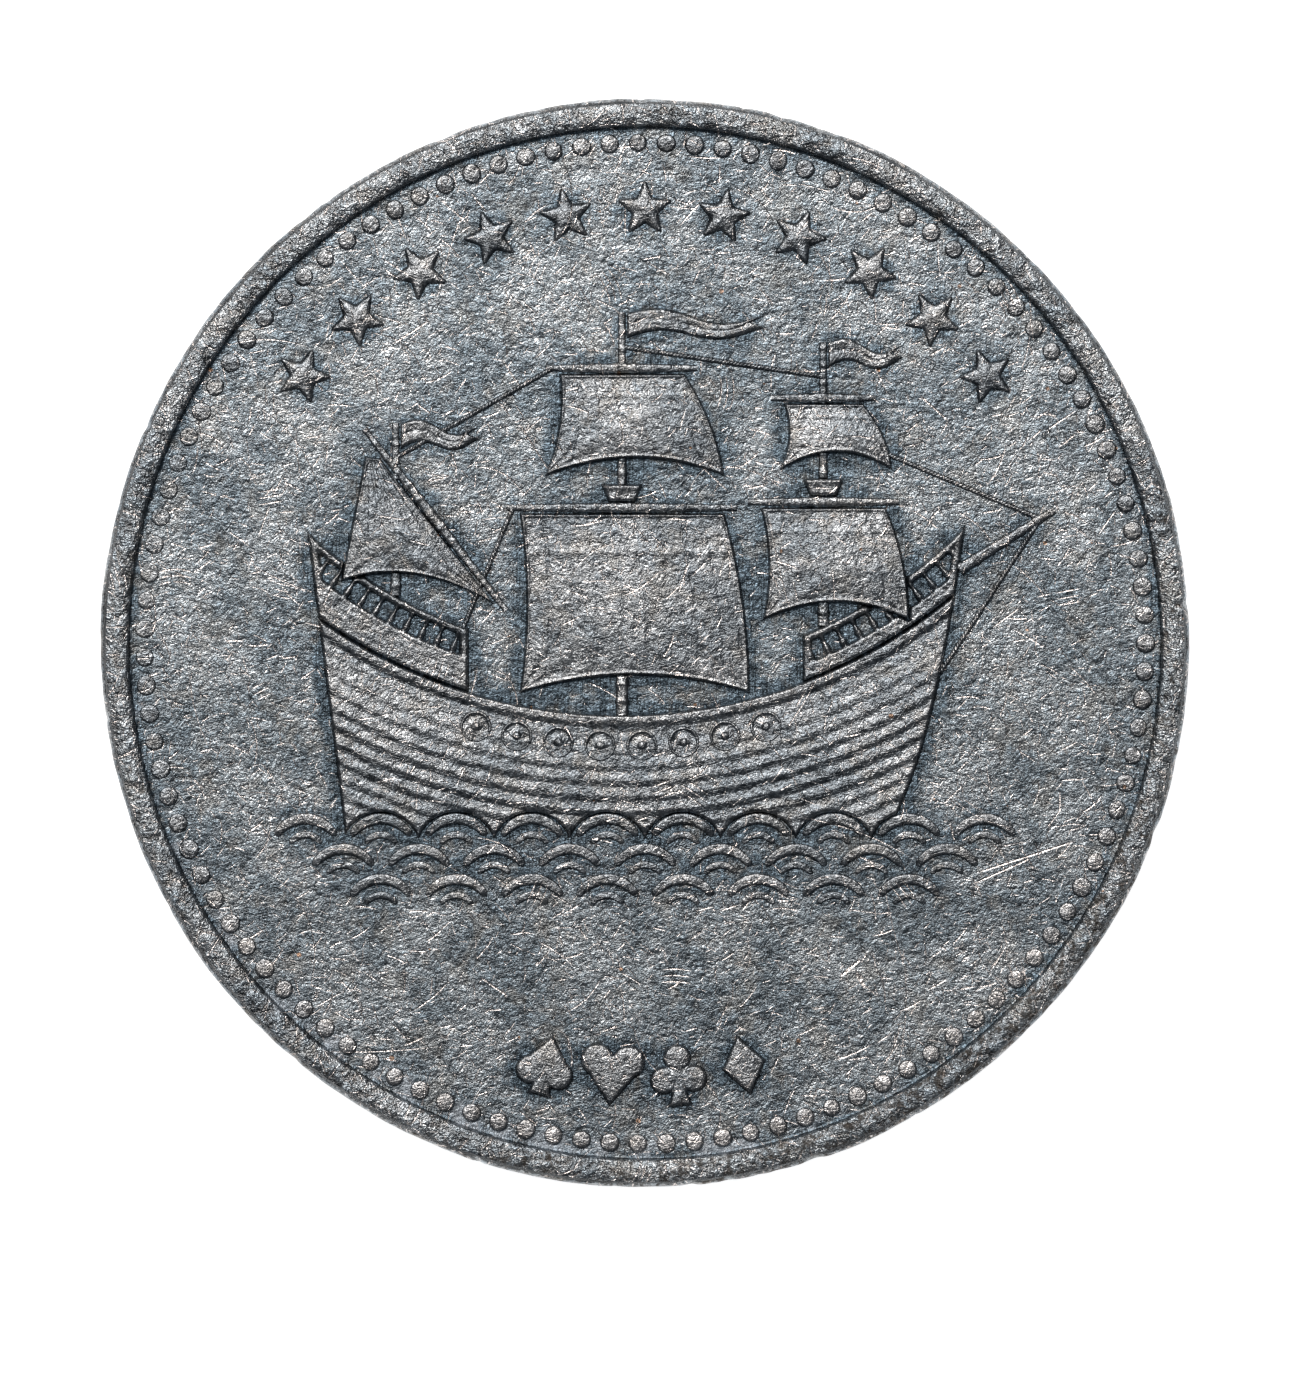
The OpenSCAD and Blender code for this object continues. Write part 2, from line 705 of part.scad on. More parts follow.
module shield_places() {
    row_r = sheer_r + rail_w + shield_drop + shield_d / 2;
    step = shield_pitch / row_r * 180 / PI;
    translate([hull_mid_x, sheer_y])
        for (i = [0:shield_count - 1])
            rotate(-90 + (i - (shield_count - 1) / 2) * step) translate([row_r, 0]) children();
}

module hull() {
    color([0.66, 0.66, 0.67]) in_picture() intersection() {
        linear_extrude(cut_h) difference() {
            side_plan();
            sail_plan();
            shield_places() circle(shield_d / 2);
        }
        translate([hull_mid_x, sheer_y, 0]) rotate_extrude($fn = wide_fn) plank_section();
    }
}

module shields() {
    color([0.72, 0.72, 0.72]) in_picture() shield_places() dome(shield_d, up(shield_h));
}

// A castle's cap rail, balusters and wall, all the way along
module castle_work(tall) {
    cap_r = sheer_r - tall + cap_w;
    wall_r = cap_r + baluster_gap;
    turn = baluster_pitch / sheer_r * 180 / PI;
    last = ceil((stem_x + stem_rake - hull_mid_x) / baluster_pitch) + 1;
    plank_ring(sheer_r - tall, cap_r);
    plank_ring(wall_r, sheer_r);
    translate([hull_mid_x, sheer_y])
        for (k = [-last:last])
            rotate(-90 + k * turn) translate([cap_r - cap_w / 2, -baluster_w / 2])
                square([baluster_gap + cap_w, baluster_w]);
}

module stern_castle() {
    color([0.68, 0.68, 0.69]) in_picture() linear_extrude(up(castle_h)) difference() {
        intersection() {
            stern_castle_plan();
            union() {
                castle_work(stern_castle_h);
                between(stern_line, moved(stern_line, post_w));
                between(moved(stern_front, -post_w), stern_front);
            }
        }
        sail_plan();
        yard_plan();
    }
}

module bow_castle() {
    color([0.68, 0.68, 0.69]) in_picture() linear_extrude(up(castle_h)) difference() {
        intersection() {
            bow_castle_plan();
            union() {
                castle_work(bow_castle_h);
                between(bow_back, moved(bow_back, post_w));
                between(moved(bow_line, -post_w), bow_line);
            }
        }
        sail_plan();
    }
}

module main_course() {
    color([0.74, 0.74, 0.73]) in_picture() cloth(square_sail_grid(main_course_at));
}

module main_topsail() {
    color([0.74, 0.74, 0.73]) in_picture() cloth(square_sail_grid(main_topsail_at));
}

module fore_course() {
    color([0.74, 0.74, 0.73]) in_picture() cloth(square_sail_grid(fore_course_at));
}

module fore_topsail() {
    color([0.74, 0.74, 0.73]) in_picture() cloth(square_sail_grid(fore_topsail_at));
}

module mizzen_sail() {
    color([0.74, 0.74, 0.73]) in_picture() cloth(mizzen_grid());
}

module masts() {
    color([0.68, 0.68, 0.68]) in_picture() difference() {
        for (mast = all_masts)
            half_spar([mast[0], ring_y(mast[0], sheer_r + hull_side / 2)], [mast[0], mast[1]],
                mast_r, mast_head_r);
        linear_extrude(cut_h) {
            ship_plan();
            sail_plan();
            yard_plan();
            top_plan();
        }
    }
}

// Each yard lies along a sail's head, as two spars that taper outwards
module yards() {
    color([0.68, 0.68, 0.68]) in_picture() {
        for (sail = square_sails, way = [-1, 1]) {
            y = sail[2] + yard_r;
            half_spar([sail[0], y], [sail[0] + way * (sail[4] + yard_arm), y], yard_r, yard_end_r);
        }
        difference() {
            half_spar(mizzen_yard_foot, mizzen_yard_head, yard_r, yard_end_r);
            linear_extrude(cut_h) sail_plan();
        }
    }
}

module bowsprit() {
    color([0.68, 0.68, 0.68]) in_picture() difference() {
        half_spar(sprit_root, sprit_tip, mast_r, mast_head_r);
        linear_extrude(cut_h) ship_plan();
    }
}

module fighting_tops() {
    color([0.7, 0.7, 0.7]) in_picture() linear_extrude(up(nest_h)) difference() {
        top_plan();
        sail_plan();
    }
}

module pennants() {
    color([0.72, 0.72, 0.72]) in_picture() for (mast = all_masts) cloth(pennant_grid(mast));
}

// Where a mast's stays meet it, under its pennant
function hounds(mast) = [mast[0], mast[1] - pennant_w - stay_drop];

module rigging() {
    castle_x = mizzen_x + stern_castle_len - post_w / 2;
    castle_post = [castle_x, ring_y(castle_x, sheer_r - stern_castle_h)];
    sprit_end = sprit_tip - stay_back * sprit_run;
    behind_topsail = flat(square_sail_point(fore_topsail_at, 0.5, 0.5));
    ropes = [
        [hounds(main_mast), hounds(fore_mast)],
        [behind_topsail, sprit_end],
        [[main_x - main_top_head - yard_arm / 2, main_top_head_y + yard_r], hounds(mizzen_mast)],
        [[main_x - main_head - yard_arm / 2, main_head_y + yard_r], castle_post],
        [sprit_end, stem_curve[stem_steps - 2]]];
    color([0.66, 0.66, 0.66]) in_picture() linear_extrude(up(rope_h)) difference() {
        for (rope = ropes) strip(rope[0], rope[1], rope_w);
        ship_plan();
        sail_plan();
        mast_plan();
        yard_plan();
        top_plan();
        pennant_plan();
        strip(sprit_root, sprit_tip, 2 * mast_r);
    }
}

// A half-round ridge on the field, along an arc over the top of a wave
module ridge(outer_r, w) {
    rotate([0, 0, ridge_from]) rotate_extrude(angle = 180 - 2 * ridge_from) intersection() {
        translate([outer_r - w / 2, 0]) circle(w / 2);
        square([2 * outer_r, w]);
    }
}

module sea() {
    color([0.68, 0.69, 0.7]) in_picture()
        for (row = [0:sea_rows - 1], i = [0:crest_count - 1 - row])
            translate([(i - (crest_count - 1 - row) / 2) * crest_pitch, sea_y - row * sea_row_drop, 0]) {
                ridge(crest_r, crest_w);
                ridge(crest_r - crest_w - ripple_gap, ripple_w);
            }
}

module wind_rose() {
    tips = [for (i = [0:7]) i % 2 == 0 ? rose_long : rose_short];
    color([0.7, 0.7, 0.7]) on_reverse() rotate(90) faceted_star(tips, rose_waist, rose_h, rose_wall);
}

module rose_ring() {
    mid_r = rose_long + ring_gap + ring_w / 2;
    ball_r = (ring_w * ring_w / 4 + ring_h * ring_h) / (2 * ring_h);
    color([0.7, 0.7, 0.7]) on_reverse() rotate_extrude($fn = wide_fn) intersection() {
        translate([mid_r, ring_h - ball_r]) circle(ball_r);
        translate([mid_r - ring_w, 0]) square([2 * ring_w, ring_h]);
    }
}

module rose_studs() {
    stud_ring_r = rose_long + ring_gap + ring_w + stud_gap + stud_d / 2;
    color([0.72, 0.72, 0.72]) on_reverse() for (i = [0:stud_count - 1])
        rotate(360 * (i + 0.5) / stud_count) translate([stud_ring_r, 0, 0]) dome(stud_d, ring_h);
}

blank();
obverse_beads();
reverse_beads();
star_arc();
suit_row();
hull();
stern_castle();
bow_castle();
shields();
main_course();
main_topsail();
fore_course();
fore_topsail();
mizzen_sail();
masts();
yards();
bowsprit();
fighting_tops();
pennants();
rigging();
sea();
wind_rose();
rose_ring();
rose_studs();
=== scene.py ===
"""Looks of a worn, struck light-metal game token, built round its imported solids.

Sizes are in millimetres. Each piece is made on the plane of its face and then settled
into the frame in metres.
"""

import functools
import math

import bpy
import numpy as np
from mathutils import Matrix, Vector
from mathutils.bvhtree import BVHTree


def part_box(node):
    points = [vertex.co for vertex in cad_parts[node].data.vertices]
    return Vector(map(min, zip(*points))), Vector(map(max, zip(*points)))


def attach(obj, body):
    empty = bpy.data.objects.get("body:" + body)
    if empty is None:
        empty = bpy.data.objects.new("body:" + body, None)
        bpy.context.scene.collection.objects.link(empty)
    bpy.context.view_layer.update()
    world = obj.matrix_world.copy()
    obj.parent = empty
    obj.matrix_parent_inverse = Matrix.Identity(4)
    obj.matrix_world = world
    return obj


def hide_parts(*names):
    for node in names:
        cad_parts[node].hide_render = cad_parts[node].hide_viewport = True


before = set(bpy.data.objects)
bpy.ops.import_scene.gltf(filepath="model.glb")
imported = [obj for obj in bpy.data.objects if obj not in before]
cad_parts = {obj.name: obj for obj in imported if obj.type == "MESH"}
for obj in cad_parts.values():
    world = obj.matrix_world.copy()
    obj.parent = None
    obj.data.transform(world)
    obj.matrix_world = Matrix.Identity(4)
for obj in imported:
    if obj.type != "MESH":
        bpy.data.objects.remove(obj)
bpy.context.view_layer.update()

MM = 0.001

# Blank
TOKEN_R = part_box("blank")[1].x / MM
TOKEN_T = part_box("blank")[1].z / MM
RIM_W = 0.62
RIM_H = 0.24
RIM_SLOPE = 0.1
EDGE_R = 0.16
FIELD_R = TOKEN_R - RIM_W - RIM_SLOPE
OBVERSE_Z = TOKEN_T - RIM_H
REVERSE_Z = RIM_H

# Borders
BEAD_COUNT = 111
BEAD_D = 0.46
BEAD_H = 0.15
BEAD_RING_R = 11.94
STAR_COUNT = 11
STAR_R = 0.74
STAR_WAIST_R = 0.31
STAR_H = 0.125
STAR_WALL = 0.075
STAR_BLUNT = 0.05
STAR_STEP = math.radians(10.4)
STAR_RING_R = 10.35
TIP_BLUNTING = 2.5
WAIST_BLUNTING = 0.6
SUIT_SIZE = 1.5
SUIT_H = 0.13
SUIT_CROWN = 0.14
SUIT_CROWN_W = 0.24
SUIT_STEP = math.radians(8.8)
SUIT_RING_R = 10.34

# Ship's side
WATERLINE_Y = -4.45
SEA_Y = -5.0
HULL_MID_X = -0.575
SHEER_R = 12.5
SHEER_Y = 10.8
SIDE_TOP_Y = 1.757
HULL_SIDE = 2.75
STERN_X = -7.1
STERN_RAKE = 0.85
STEM_X = 5.95
STEM_RAKE = 1.55
PLANK_COUNT = 7
PLANK_W = 0.3557
PLANK_LAP = 0.035
LAP_RISE = 0.9
LAP_FALL = 0.1
PLANK_LEN = 3.1
PLANK_STAGGER = 0.37
BUTT_DEPTH = 0.018
BUTT_W = 0.03
HULL_EDGE_H = 0.1
HULL_FULL_H = 0.16
RAIL_W = 0.26
RAIL_PROUD = 0.02
RAIL_LINE_DEPTH = 0.03
RAIL_LINE_W = 0.03
STERN_CASTLE_H = 1.45
STERN_CASTLE_LEN = 1.75
BOW_CASTLE_H = 1.05
BOW_CASTLE_LEN = 0.5
CASTLE_H = 0.17
CAP_W = 0.22
CAP_PROUD = 0.01
BOARD_W = 0.2
BOARD_SET_BACK = 0.025
BOARD_LINE_DEPTH = 0.02
BOARD_LINE_W = 0.025
BALUSTER_W = 0.16
BALUSTER_GAP = 0.42
BALUSTER_PITCH = 0.44
BALUSTER_SWELL = 0.3
BALUSTER_SET_BACK = 0.02
POST_W = 0.24
SHIELD_COUNT = 8
SHIELD_D = 0.78
SHIELD_H = 0.2
SHIELD_PITCH = 1.0
SHIELD_DROP = 0.1

# Masts: place and height of the truck, and length of the pennant
MAIN_MAST = (-0.55, 7.89, 3.3)
FORE_MAST = (4.25, 7.18, 1.8)
MIZZEN_MAST = (-5.95, 5.245, 1.9)
MAST_R = 0.17
MAST_HEAD_R = 0.09
MAST_WEAR = 0.96
YARD_R = 0.13
YARD_END_R = 0.07
YARD_ARM = 0.3
YARD_LAP = 0.04
SPAR_LAP = 0.02
BAND_PITCH = 0.42
BAND_SWELL = 0.16
BAND_W = 0.055

# Square sails: mast, foot and head heights, half widths at foot and head
MAIN_COURSE = (-0.55, -1.2, 3.1, 2.75, 2.45)
MAIN_TOPSAIL = (-0.55, 3.98, 6.43, 2.15, 1.5)
FORE_COURSE = (4.25, 0.54, 3.24, 1.75, 1.5)
FORE_TOPSAIL = (4.25, 4.12, 5.72, 1.35, 0.95)
SQUARE_SAILS = (MAIN_COURSE, MAIN_TOPSAIL, FORE_COURSE, FORE_TOPSAIL)
SAIL_LEAN = 0.3
SAIL_BELLY = 0.32
SAIL_ROACH = 0.42
SAIL_EDGE_H = 0.1
SAIL_FULL_H = 0.225
CLOTH_W = 0.55
SEAM_DEPTH = 0.016
SEAM_W = 0.045
BOLT_ROPE_W = 0.1
BOLT_ROPE_H = 0.022
BOLT_ROPE_INSET = BOLT_ROPE_W * 0.62
BOLT_ROPE_R = BOLT_ROPE_W * 0.42
CREASE_H = 0.011
CREASE_COUNT = 11
CREASE_REACH = 0.42
REEF_BAND_AT = 0.78
REEF_BAND_W = 0.018
REEF_BAND_H = 0.012
SAIL_LIP = 0.004
SAIL_CELL = 0.036
SAIL_CROWDING = 0.75

# Mizzen sail and its slanting yard
MIZZEN_YARD_LEN = 4.9
MIZZEN_SLOPE = math.radians(52)
MIZZEN_LEECH = 3.4
MIZZEN_LEAN = math.radians(11)
MIZZEN_YARD_FORE = 2.35
MIZZEN_CROSS_DROP = 1.3
MIZZEN_BLUNT = 0.1

# Smaller fittings
SPRIT_TIP = np.array((9.774, 3.181))
NEST_W = 1.0
NEST_FLOOR_W = 0.66
NEST_TALL = 0.44
NEST_H = 0.2
NEST_SET_BACK = 0.05
NEST_RIB_PITCH = 0.16
NEST_RIB_W = 0.3
NEST_RIB_H = 0.03
NEST_FLARE = 0.3
NEST_RAIL_FROM = 0.72
PENNANT_W = 0.62
PENNANT_WAVE = 0.14
PENNANT_NOTCH = 0.42
PENNANT_GAP = 0.03
PENNANT_H = 0.12
PENNANT_TURN = np.radians(400)
PENNANT_DIP = 0.22
PENNANT_FOLD_H = 0.012
PENNANT_SEAM_DEPTH = 0.014
PENNANT_SEAM_W = 0.1
PENNANT_SEAM_FROM = 0.04
PENNANT_ROWS = 23
PENNANT_CROWDING = 0.6
ROPE_W = 0.13
ROPE_H = 0.08
STAY_DROP = 0.2
STAY_BACK = 0.4

# Sea
CREST_R = 0.95
CREST_W = 0.27
CREST_PITCH = 1.8
CREST_COUNT = 10
SEA_ROWS = 3
SEA_ROW_DROP = 0.72
RIPPLE_R = 0.52
RIPPLE_W = 0.18
CREST_FROM = math.radians(30)

# Reverse
ROSE_LONG = 7.3
ROSE_SHORT = 4.6
ROSE_WAIST = 1.75
ROSE_H = 0.2
ROSE_WALL = 0.06
ROSE_BLUNT = 0.05
ROSE_RING_R = 8.22
ROSE_RING_W = 0.44
ROSE_RING_H = 0.15
STUD_COUNT = 32
STUD_D = 0.56
STUD_RING_R = 9.14

# How finely the relief is laid out, how its walls round off, and how far it is let into the field
CELL = 0.03
WALL_W = 0.085
WALL_ROUND = 2.3
SMOOTH = 0.045
SINK = 0.02
ROOT = 0.05

# Photograph's frame: the token's radius and the offset of its centre from the picture's, in pixels
PHOTO_H = 1390
PHOTO_TOKEN_R = 545.0
PHOTO_OFFSET = (5.0, 52.0)
CAMERA_HEIGHT = 320.0
SENSOR = 36.0


# Plain mesh work


def show(name, mesh):
    """Puts a mesh into the scene as an object at the origin."""
    piece = bpy.data.objects.new(name, mesh)
    bpy.context.scene.collection.objects.link(piece)
    return piece


def solid(name, points, faces):
    """A smooth-shaded object from points and faces."""
    mesh = bpy.data.meshes.new(name)
    mesh.from_pydata(np.asarray(points).tolist(), [], [tuple(int(i) for i in f) for f in faces])
    mesh.shade_smooth()
    return show(name, mesh)


def joined(parts):
    """Points and faces of several closed shapes as one list of each."""
    points = []
    faces = []
    start = 0
    for part_points, part_faces in parts:
        points.extend(np.asarray(part_points).tolist())
        faces.extend(tuple(int(i) + start for i in f) for f in part_faces)
        start = len(points)
    return points, faces


def freeze(piece):
    """Makes what the modifiers give the object's own plain mesh."""
    view = bpy.context.evaluated_depsgraph_get()
    mesh = bpy.data.meshes.new_from_object(piece.evaluated_get(view))
    piece.modifiers.clear()
    before = piece.data
    piece.data = mesh
    bpy.data.meshes.remove(before)
    return piece


def thin_out(piece, share):
    """Joins faces where the surface is nearly flat, down to a share of them."""
    thin = piece.modifiers.new("thin", "DECIMATE")
    thin.ratio = share
    freeze(piece)
    piece.data.shade_smooth()
    return piece


def settle(piece, face):
    """Moves a piece made in mm on its face's plane into the frame in metres."""
    if face == "obverse":
        place = Matrix.Translation((0, 0, OBVERSE_Z * MM))
    else:
        place = Matrix.Translation((0, 0, REVERSE_Z * MM)) @ Matrix.Rotation(math.pi, 4, "X")
    piece.data.transform(place @ Matrix.Scale(MM, 4))
    piece.data.update()
    return piece


def places_of(piece):
    """Places of a piece's points in mm."""
    places = np.zeros(len(piece.data.vertices) * 3)
    piece.data.vertices.foreach_get("co", places)
    return places.reshape(-1, 3) / MM


def store(mesh, label, values):
    """Keeps a value for each point of a mesh."""
    mesh.attributes.new(label, "FLOAT", "POINT").data.foreach_set("value", values)


# Outlines: each depth is how far inside an outline a point lies, and is negative outside it


def loop_depth(x, y, loop):
    """Depth inside a closed loop of straight sides."""
    loop = np.asarray(loop, float)
    nearest = np.full(np.shape(x), 1e9)
    inside = np.zeros(np.shape(x), bool)
    for (ax, ay), (bx, by) in zip(loop, np.roll(loop, -1, 0)):
        run = (bx - ax) ** 2 + (by - ay) ** 2
        if run == 0:
            continue
        t = np.clip(((x - ax) * (bx - ax) + (y - ay) * (by - ay)) / run, 0, 1)
        away = np.hypot(x - ax - t * (bx - ax), y - ay - t * (by - ay))
        nearest = np.minimum(nearest, away)
        if ay != by:
            crosses = (ay > y) != (by > y)
            inside ^= crosses & (x < ax + (y - ay) * (bx - ax) / (by - ay))
    return np.where(inside, nearest, -nearest)


def disc_depth(x, y, centre, r):
    return r - np.hypot(x - centre[0], y - centre[1])


def bar_depth(x, y, p, q, w):
    """Depth inside a straight bar with round ends."""
    run = np.subtract(q, p)
    t = np.clip(((x - p[0]) * run[0] + (y - p[1]) * run[1]) / run.dot(run), 0, 1)
    return w / 2 - np.hypot(x - p[0] - t * run[0], y - p[1] - t * run[1])


def left_of(x, y, p, q):
    """How far a point lies to the left of the line from p to q."""
    run = np.subtract(q, p)
    run = run / np.hypot(*run)
    return run[0] * (y - p[1]) - run[1] * (x - p[0])


def all_of(*depths):
    return np.minimum.reduce(depths)


def any_of(*depths):
    return np.maximum.reduce(depths)


def worn_wall(depth):
    """Share of the full height at a depth inside the outline, by which walls round over into the top."""
    run = np.clip(depth / WALL_W, 0, 1)
    return 1 - (1 - run) ** WALL_ROUND


def groove(away, width):
    """1 on a line and 0 a width away from it."""
    return np.exp(-((away / width) ** 2))


def bump(t):
    return 4 * t * (1 - t)


def grid_faces(rows, cols):
    """Quads of a grid of points that is numbered row by row, facing up."""
    corner = (np.arange(rows - 1)[:, None] * cols + np.arange(cols - 1)).ravel()
    return np.stack((corner, corner + 1, corner + cols + 1, corner + cols), 1)


def box_blur(values, reach):
    """Mean over a square round each place."""
    width = 2 * reach + 1
    for axis in (0, 1):
        pad = [(0, 0), (0, 0)]
        pad[axis] = (reach + 1, reach)
        total = np.moveaxis(np.cumsum(np.pad(values, pad, mode="edge"), axis), axis, 0)
        values = np.moveaxis((total[width:] - total[:-width]) / width, 0, axis)
    return values


def relief(box, depth, height, cell=CELL):
    """A closed relief inside an outline, on a fine grid that is let into the field round its foot."""
    x0, y0, x1, y1 = box
    margin = 3 * cell
    across = np.arange(x0 - margin, x1 + margin, cell)
    upward = np.arange(y0 - margin, y1 + margin, cell)
    x, y = np.meshgrid(across, upward)
    inside = depth(x, y)
    slope = WALL_ROUND * HULL_FULL_H / WALL_W
    level = box_blur(height(x, y, inside), round(SMOOTH / cell))
    top = np.where(inside > 0, level * worn_wall(inside), np.maximum(inside * slope, -SINK))
    rows, cols = x.shape
    quads = grid_faces(rows, cols)
    held = (inside > 0).ravel()
    kept = held[quads].any(1)
    taken = np.zeros((rows + 1, cols + 1), bool)
    taken[1:rows, 1:cols] = kept.reshape(rows - 1, cols - 1)
    number = np.arange(rows * cols).reshape(rows, cols)
    count = rows * cols
    here = taken[1:rows, 1:cols]
    walls = []
    for open_side, a, b in (
        (here & ~taken[0:rows - 1, 1:cols], number[:-1, :-1], number[:-1, 1:]),
        (here & ~taken[1:rows, 2:cols + 1], number[:-1, 1:], number[1:, 1:]),
        (here & ~taken[2:rows + 1, 1:cols], number[1:, 1:], number[1:, :-1]),
        (here & ~taken[1:rows, 0:cols - 1], number[1:, :-1], number[:-1, :-1]),
    ):
        a = a[open_side]
        b = b[open_side]
        walls.append(np.stack((a + count, b + count, b, a), 1))
    quads = quads[kept]
    faces = np.concatenate([quads, quads[:, ::-1] + count] + walls)
    points = np.concatenate([
        np.stack((x.ravel(), y.ravel(), top.ravel()), 1),
        np.stack((x.ravel(), y.ravel(), np.full(count, -ROOT)), 1),
    ])
    used = np.unique(faces)
    renumber = np.zeros(len(points), int)
    renumber[used] = np.arange(len(used))
    return points[used], renumber[faces]


def sheet(places, heights):
    """A closed solid from a little under the field up to a grid of places and heights."""
    rows, cols = heights.shape
    count = rows * cols
    points = np.concatenate([
        np.concatenate((places.reshape(-1, 2), heights.reshape(-1, 1)), 1),
        np.concatenate((places.reshape(-1, 2), np.full((count, 1), -ROOT)), 1),
    ])
    quads = grid_faces(rows, cols)
    number = np.arange(count).reshape(rows, cols)
    rim = np.concatenate((number[0, :-1], number[:-1, -1], number[-1, :0:-1], number[:0:-1, 0]))
    after = np.roll(rim, -1)
    walls = np.stack((rim + count, after + count, after, rim), 1)
    return points, np.concatenate((quads, quads[:, ::-1] + count, walls))


def turned(outline, segments):
    """A closed turned form from its half outline, listed from the middle of its top outwards and down."""
    points = [(0.0, 0.0, outline[0][1])]
    for r, z in outline[1:]:
        for k in range(segments):
            a = 2 * math.pi * k / segments
            points.append((r * math.cos(a), r * math.sin(a), z))
    faces = [(0, 1 + k, 1 + (k + 1) % segments) for k in range(segments)]
    for ring in range(len(outline) - 2):
        a = 1 + ring * segments
        b = a + segments
        for k in range(segments):
            n = (k + 1) % segments
            faces.append((a + k, b + k, b + n, a + n))
    last = 1 + (len(outline) - 2) * segments
    faces.append(tuple(range(last + segments - 1, last - 1, -1)))
    return points, faces


# Node trees

# Numbers of the sockets that a mix node has for colours and a random node has for single values
MIX_A = 6
MIX_B = 7
MIX_RESULT = 2
RANDOM_LOW = 2
RANDOM_HIGH = 3
RANDOM_SEED = 8
RANDOM_RESULT = 1


def feed(tree, socket, value):
    """Gives a socket a link or a plain value."""
    if isinstance(value, bpy.types.NodeSocket):
        tree.links.new(value, socket)
    else:
        socket.default_value = value


def add(tree, kind, inputs=None, **settings):
    """Adds a node, sets it, and gives its inputs values or links."""
    made = tree.nodes.new(kind)
    for key, value in settings.items():
        setattr(made, key, value)
    for key, value in (inputs or {}).items():
        feed(tree, made.inputs[key], value)
    return made


def maths(tree, operation, a, b=0.0, c=0.0, clamp=False):
    """The result of one sum on values or sockets."""
    return add(tree, "ShaderNodeMath", {0: a, 1: b, 2: c}, operation=operation, use_clamp=clamp).outputs[0]


def times(tree, a, b, clamp=False):
    return maths(tree, "MULTIPLY", a, b, clamp=clamp)


def times_plus(tree, a, b, c):
    return maths(tree, "MULTIPLY_ADD", a, b, c)


def vector_sum(tree, operation, a, b=(0.0, 0.0, 0.0)):
    return add(tree, "ShaderNodeVectorMath", {0: a, 1: b}, operation=operation).outputs[0]


def strongest(tree, marks):
    """The greatest of several marks at each place."""
    return functools.reduce(lambda a, b: maths(tree, "MAXIMUM", a, b), marks)


def blended(tree, share, a, b):
    """One colour passing into another by a share."""
    made = add(tree, "ShaderNodeMix", {0: share, MIX_A: a, MIX_B: b}, data_type="RGBA", clamp_factor=True)
    return made.outputs[MIX_RESULT]


def stepped(tree, value, low, high):
    """0 below one value, 1 above another, and a soft step between them."""
    made = add(tree, "ShaderNodeMapRange", {0: value, 1: low, 2: high}, interpolation_type="SMOOTHSTEP")
    return made.outputs[0]


def noise(tree, where, scale, detail, roughness=0.5):
    """Flat noise over a place, about 0.5."""
    made = add(tree, "ShaderNodeTexNoise", {
        "Vector": where, "Scale": scale, "Detail": detail, "Roughness": roughness,
    }, noise_dimensions="2D")
    return made.outputs[0]


def scatter(tree, where, per_mm):
    """The cells of a scatter, and three chances for each cell."""
    cells = add(tree, "ShaderNodeTexVoronoi", {"Vector": where, "Scale": per_mm}, voronoi_dimensions="2D")
    return cells.outputs, add(tree, "ShaderNodeSeparateColor", {0: cells.outputs["Color"]}).outputs


def laid_along(tree, local, angle):
    """A place turned about the upright axis, as its three parts."""
    laid = add(tree, "ShaderNodeVectorRotate", {"Vector": local, "Angle": angle}, rotation_type="Z_AXIS")
    return add(tree, "ShaderNodeSeparateXYZ", {0: laid.outputs[0]}).outputs


def attribute(tree, name, output="Fac"):
    return add(tree, "ShaderNodeAttribute", attribute_name=name).outputs[output]


def new_group(name, kind, inputs, outputs):
    """A node group with its named sockets."""
    tree = bpy.data.node_groups.new(name, kind)
    for label, socket_type, value in inputs:
        socket = tree.interface.new_socket(label, in_out="INPUT", socket_type=socket_type)
        if value is not None:
            socket.default_value = value
    for label, socket_type in outputs:
        tree.interface.new_socket(label, in_out="OUTPUT", socket_type=socket_type)
    return tree, tree.nodes.new("NodeGroupInput").outputs, tree.nodes.new("NodeGroupOutput").inputs


def use_group(tree, group, inputs):
    """A group placed in a tree, with its own values."""
    made = tree.nodes.new(tree.bl_idname.replace("Tree", "Group"))
    made.node_tree = group
    for key, value in inputs.items():
        feed(tree, made.inputs[key], value)
    return made.outputs


FLOAT = "NodeSocketFloat"
INT = "NodeSocketInt"
VECTOR = "NodeSocketVector"
COLOUR = "NodeSocketColor"
GEOMETRY = "NodeSocketGeometry"
OBJECT = "NodeSocketObject"
MATERIAL = "NodeSocketMaterial"


# Finish of the metal

RUBBED_COLOUR = (0.6, 0.625, 0.645, 1.0)
TAN_COLOUR = (0.3, 0.27, 0.23, 1.0)
FILM_COLOUR = (0.5, 0.54, 0.59, 1.0)
GRIME_COLOUR = (0.05, 0.04, 0.03, 1.0)
RUST_COLOUR = (0.3, 0.14, 0.05, 1.0)
BUMP_DEPTH = 0.026

# Noises: scale per mm, detail and roughness
CLOUD_NOISE = (0.42, 3.0, 0.62)
MOTTLE_NOISE = (3.6, 3.0, 0.75)
SPOTS_NOISE = (3.2, 4.0, 0.75)
VEIL_NOISE = (1.1, 3.0, 0.65)
GRAIN_PER_MM = (26.0, 1.7, 1.0)

# Soft steps, from the value that gives 0 to the value that gives 1
PROUD_WEAR_HIGHLIGHT_STEP = (-0.3, -1.6)
SHELTERED_STEP = (0.1, 0.95)
RUBBED_STEP = (0.38, 0.62)
TAN_STEP = (0.47, 0.33)

# How ragged shelter's edges are, by the cloud and by the mottle
SHELTER_CLOUD = 1.2
SHELTER_MOTTLE = 1.6

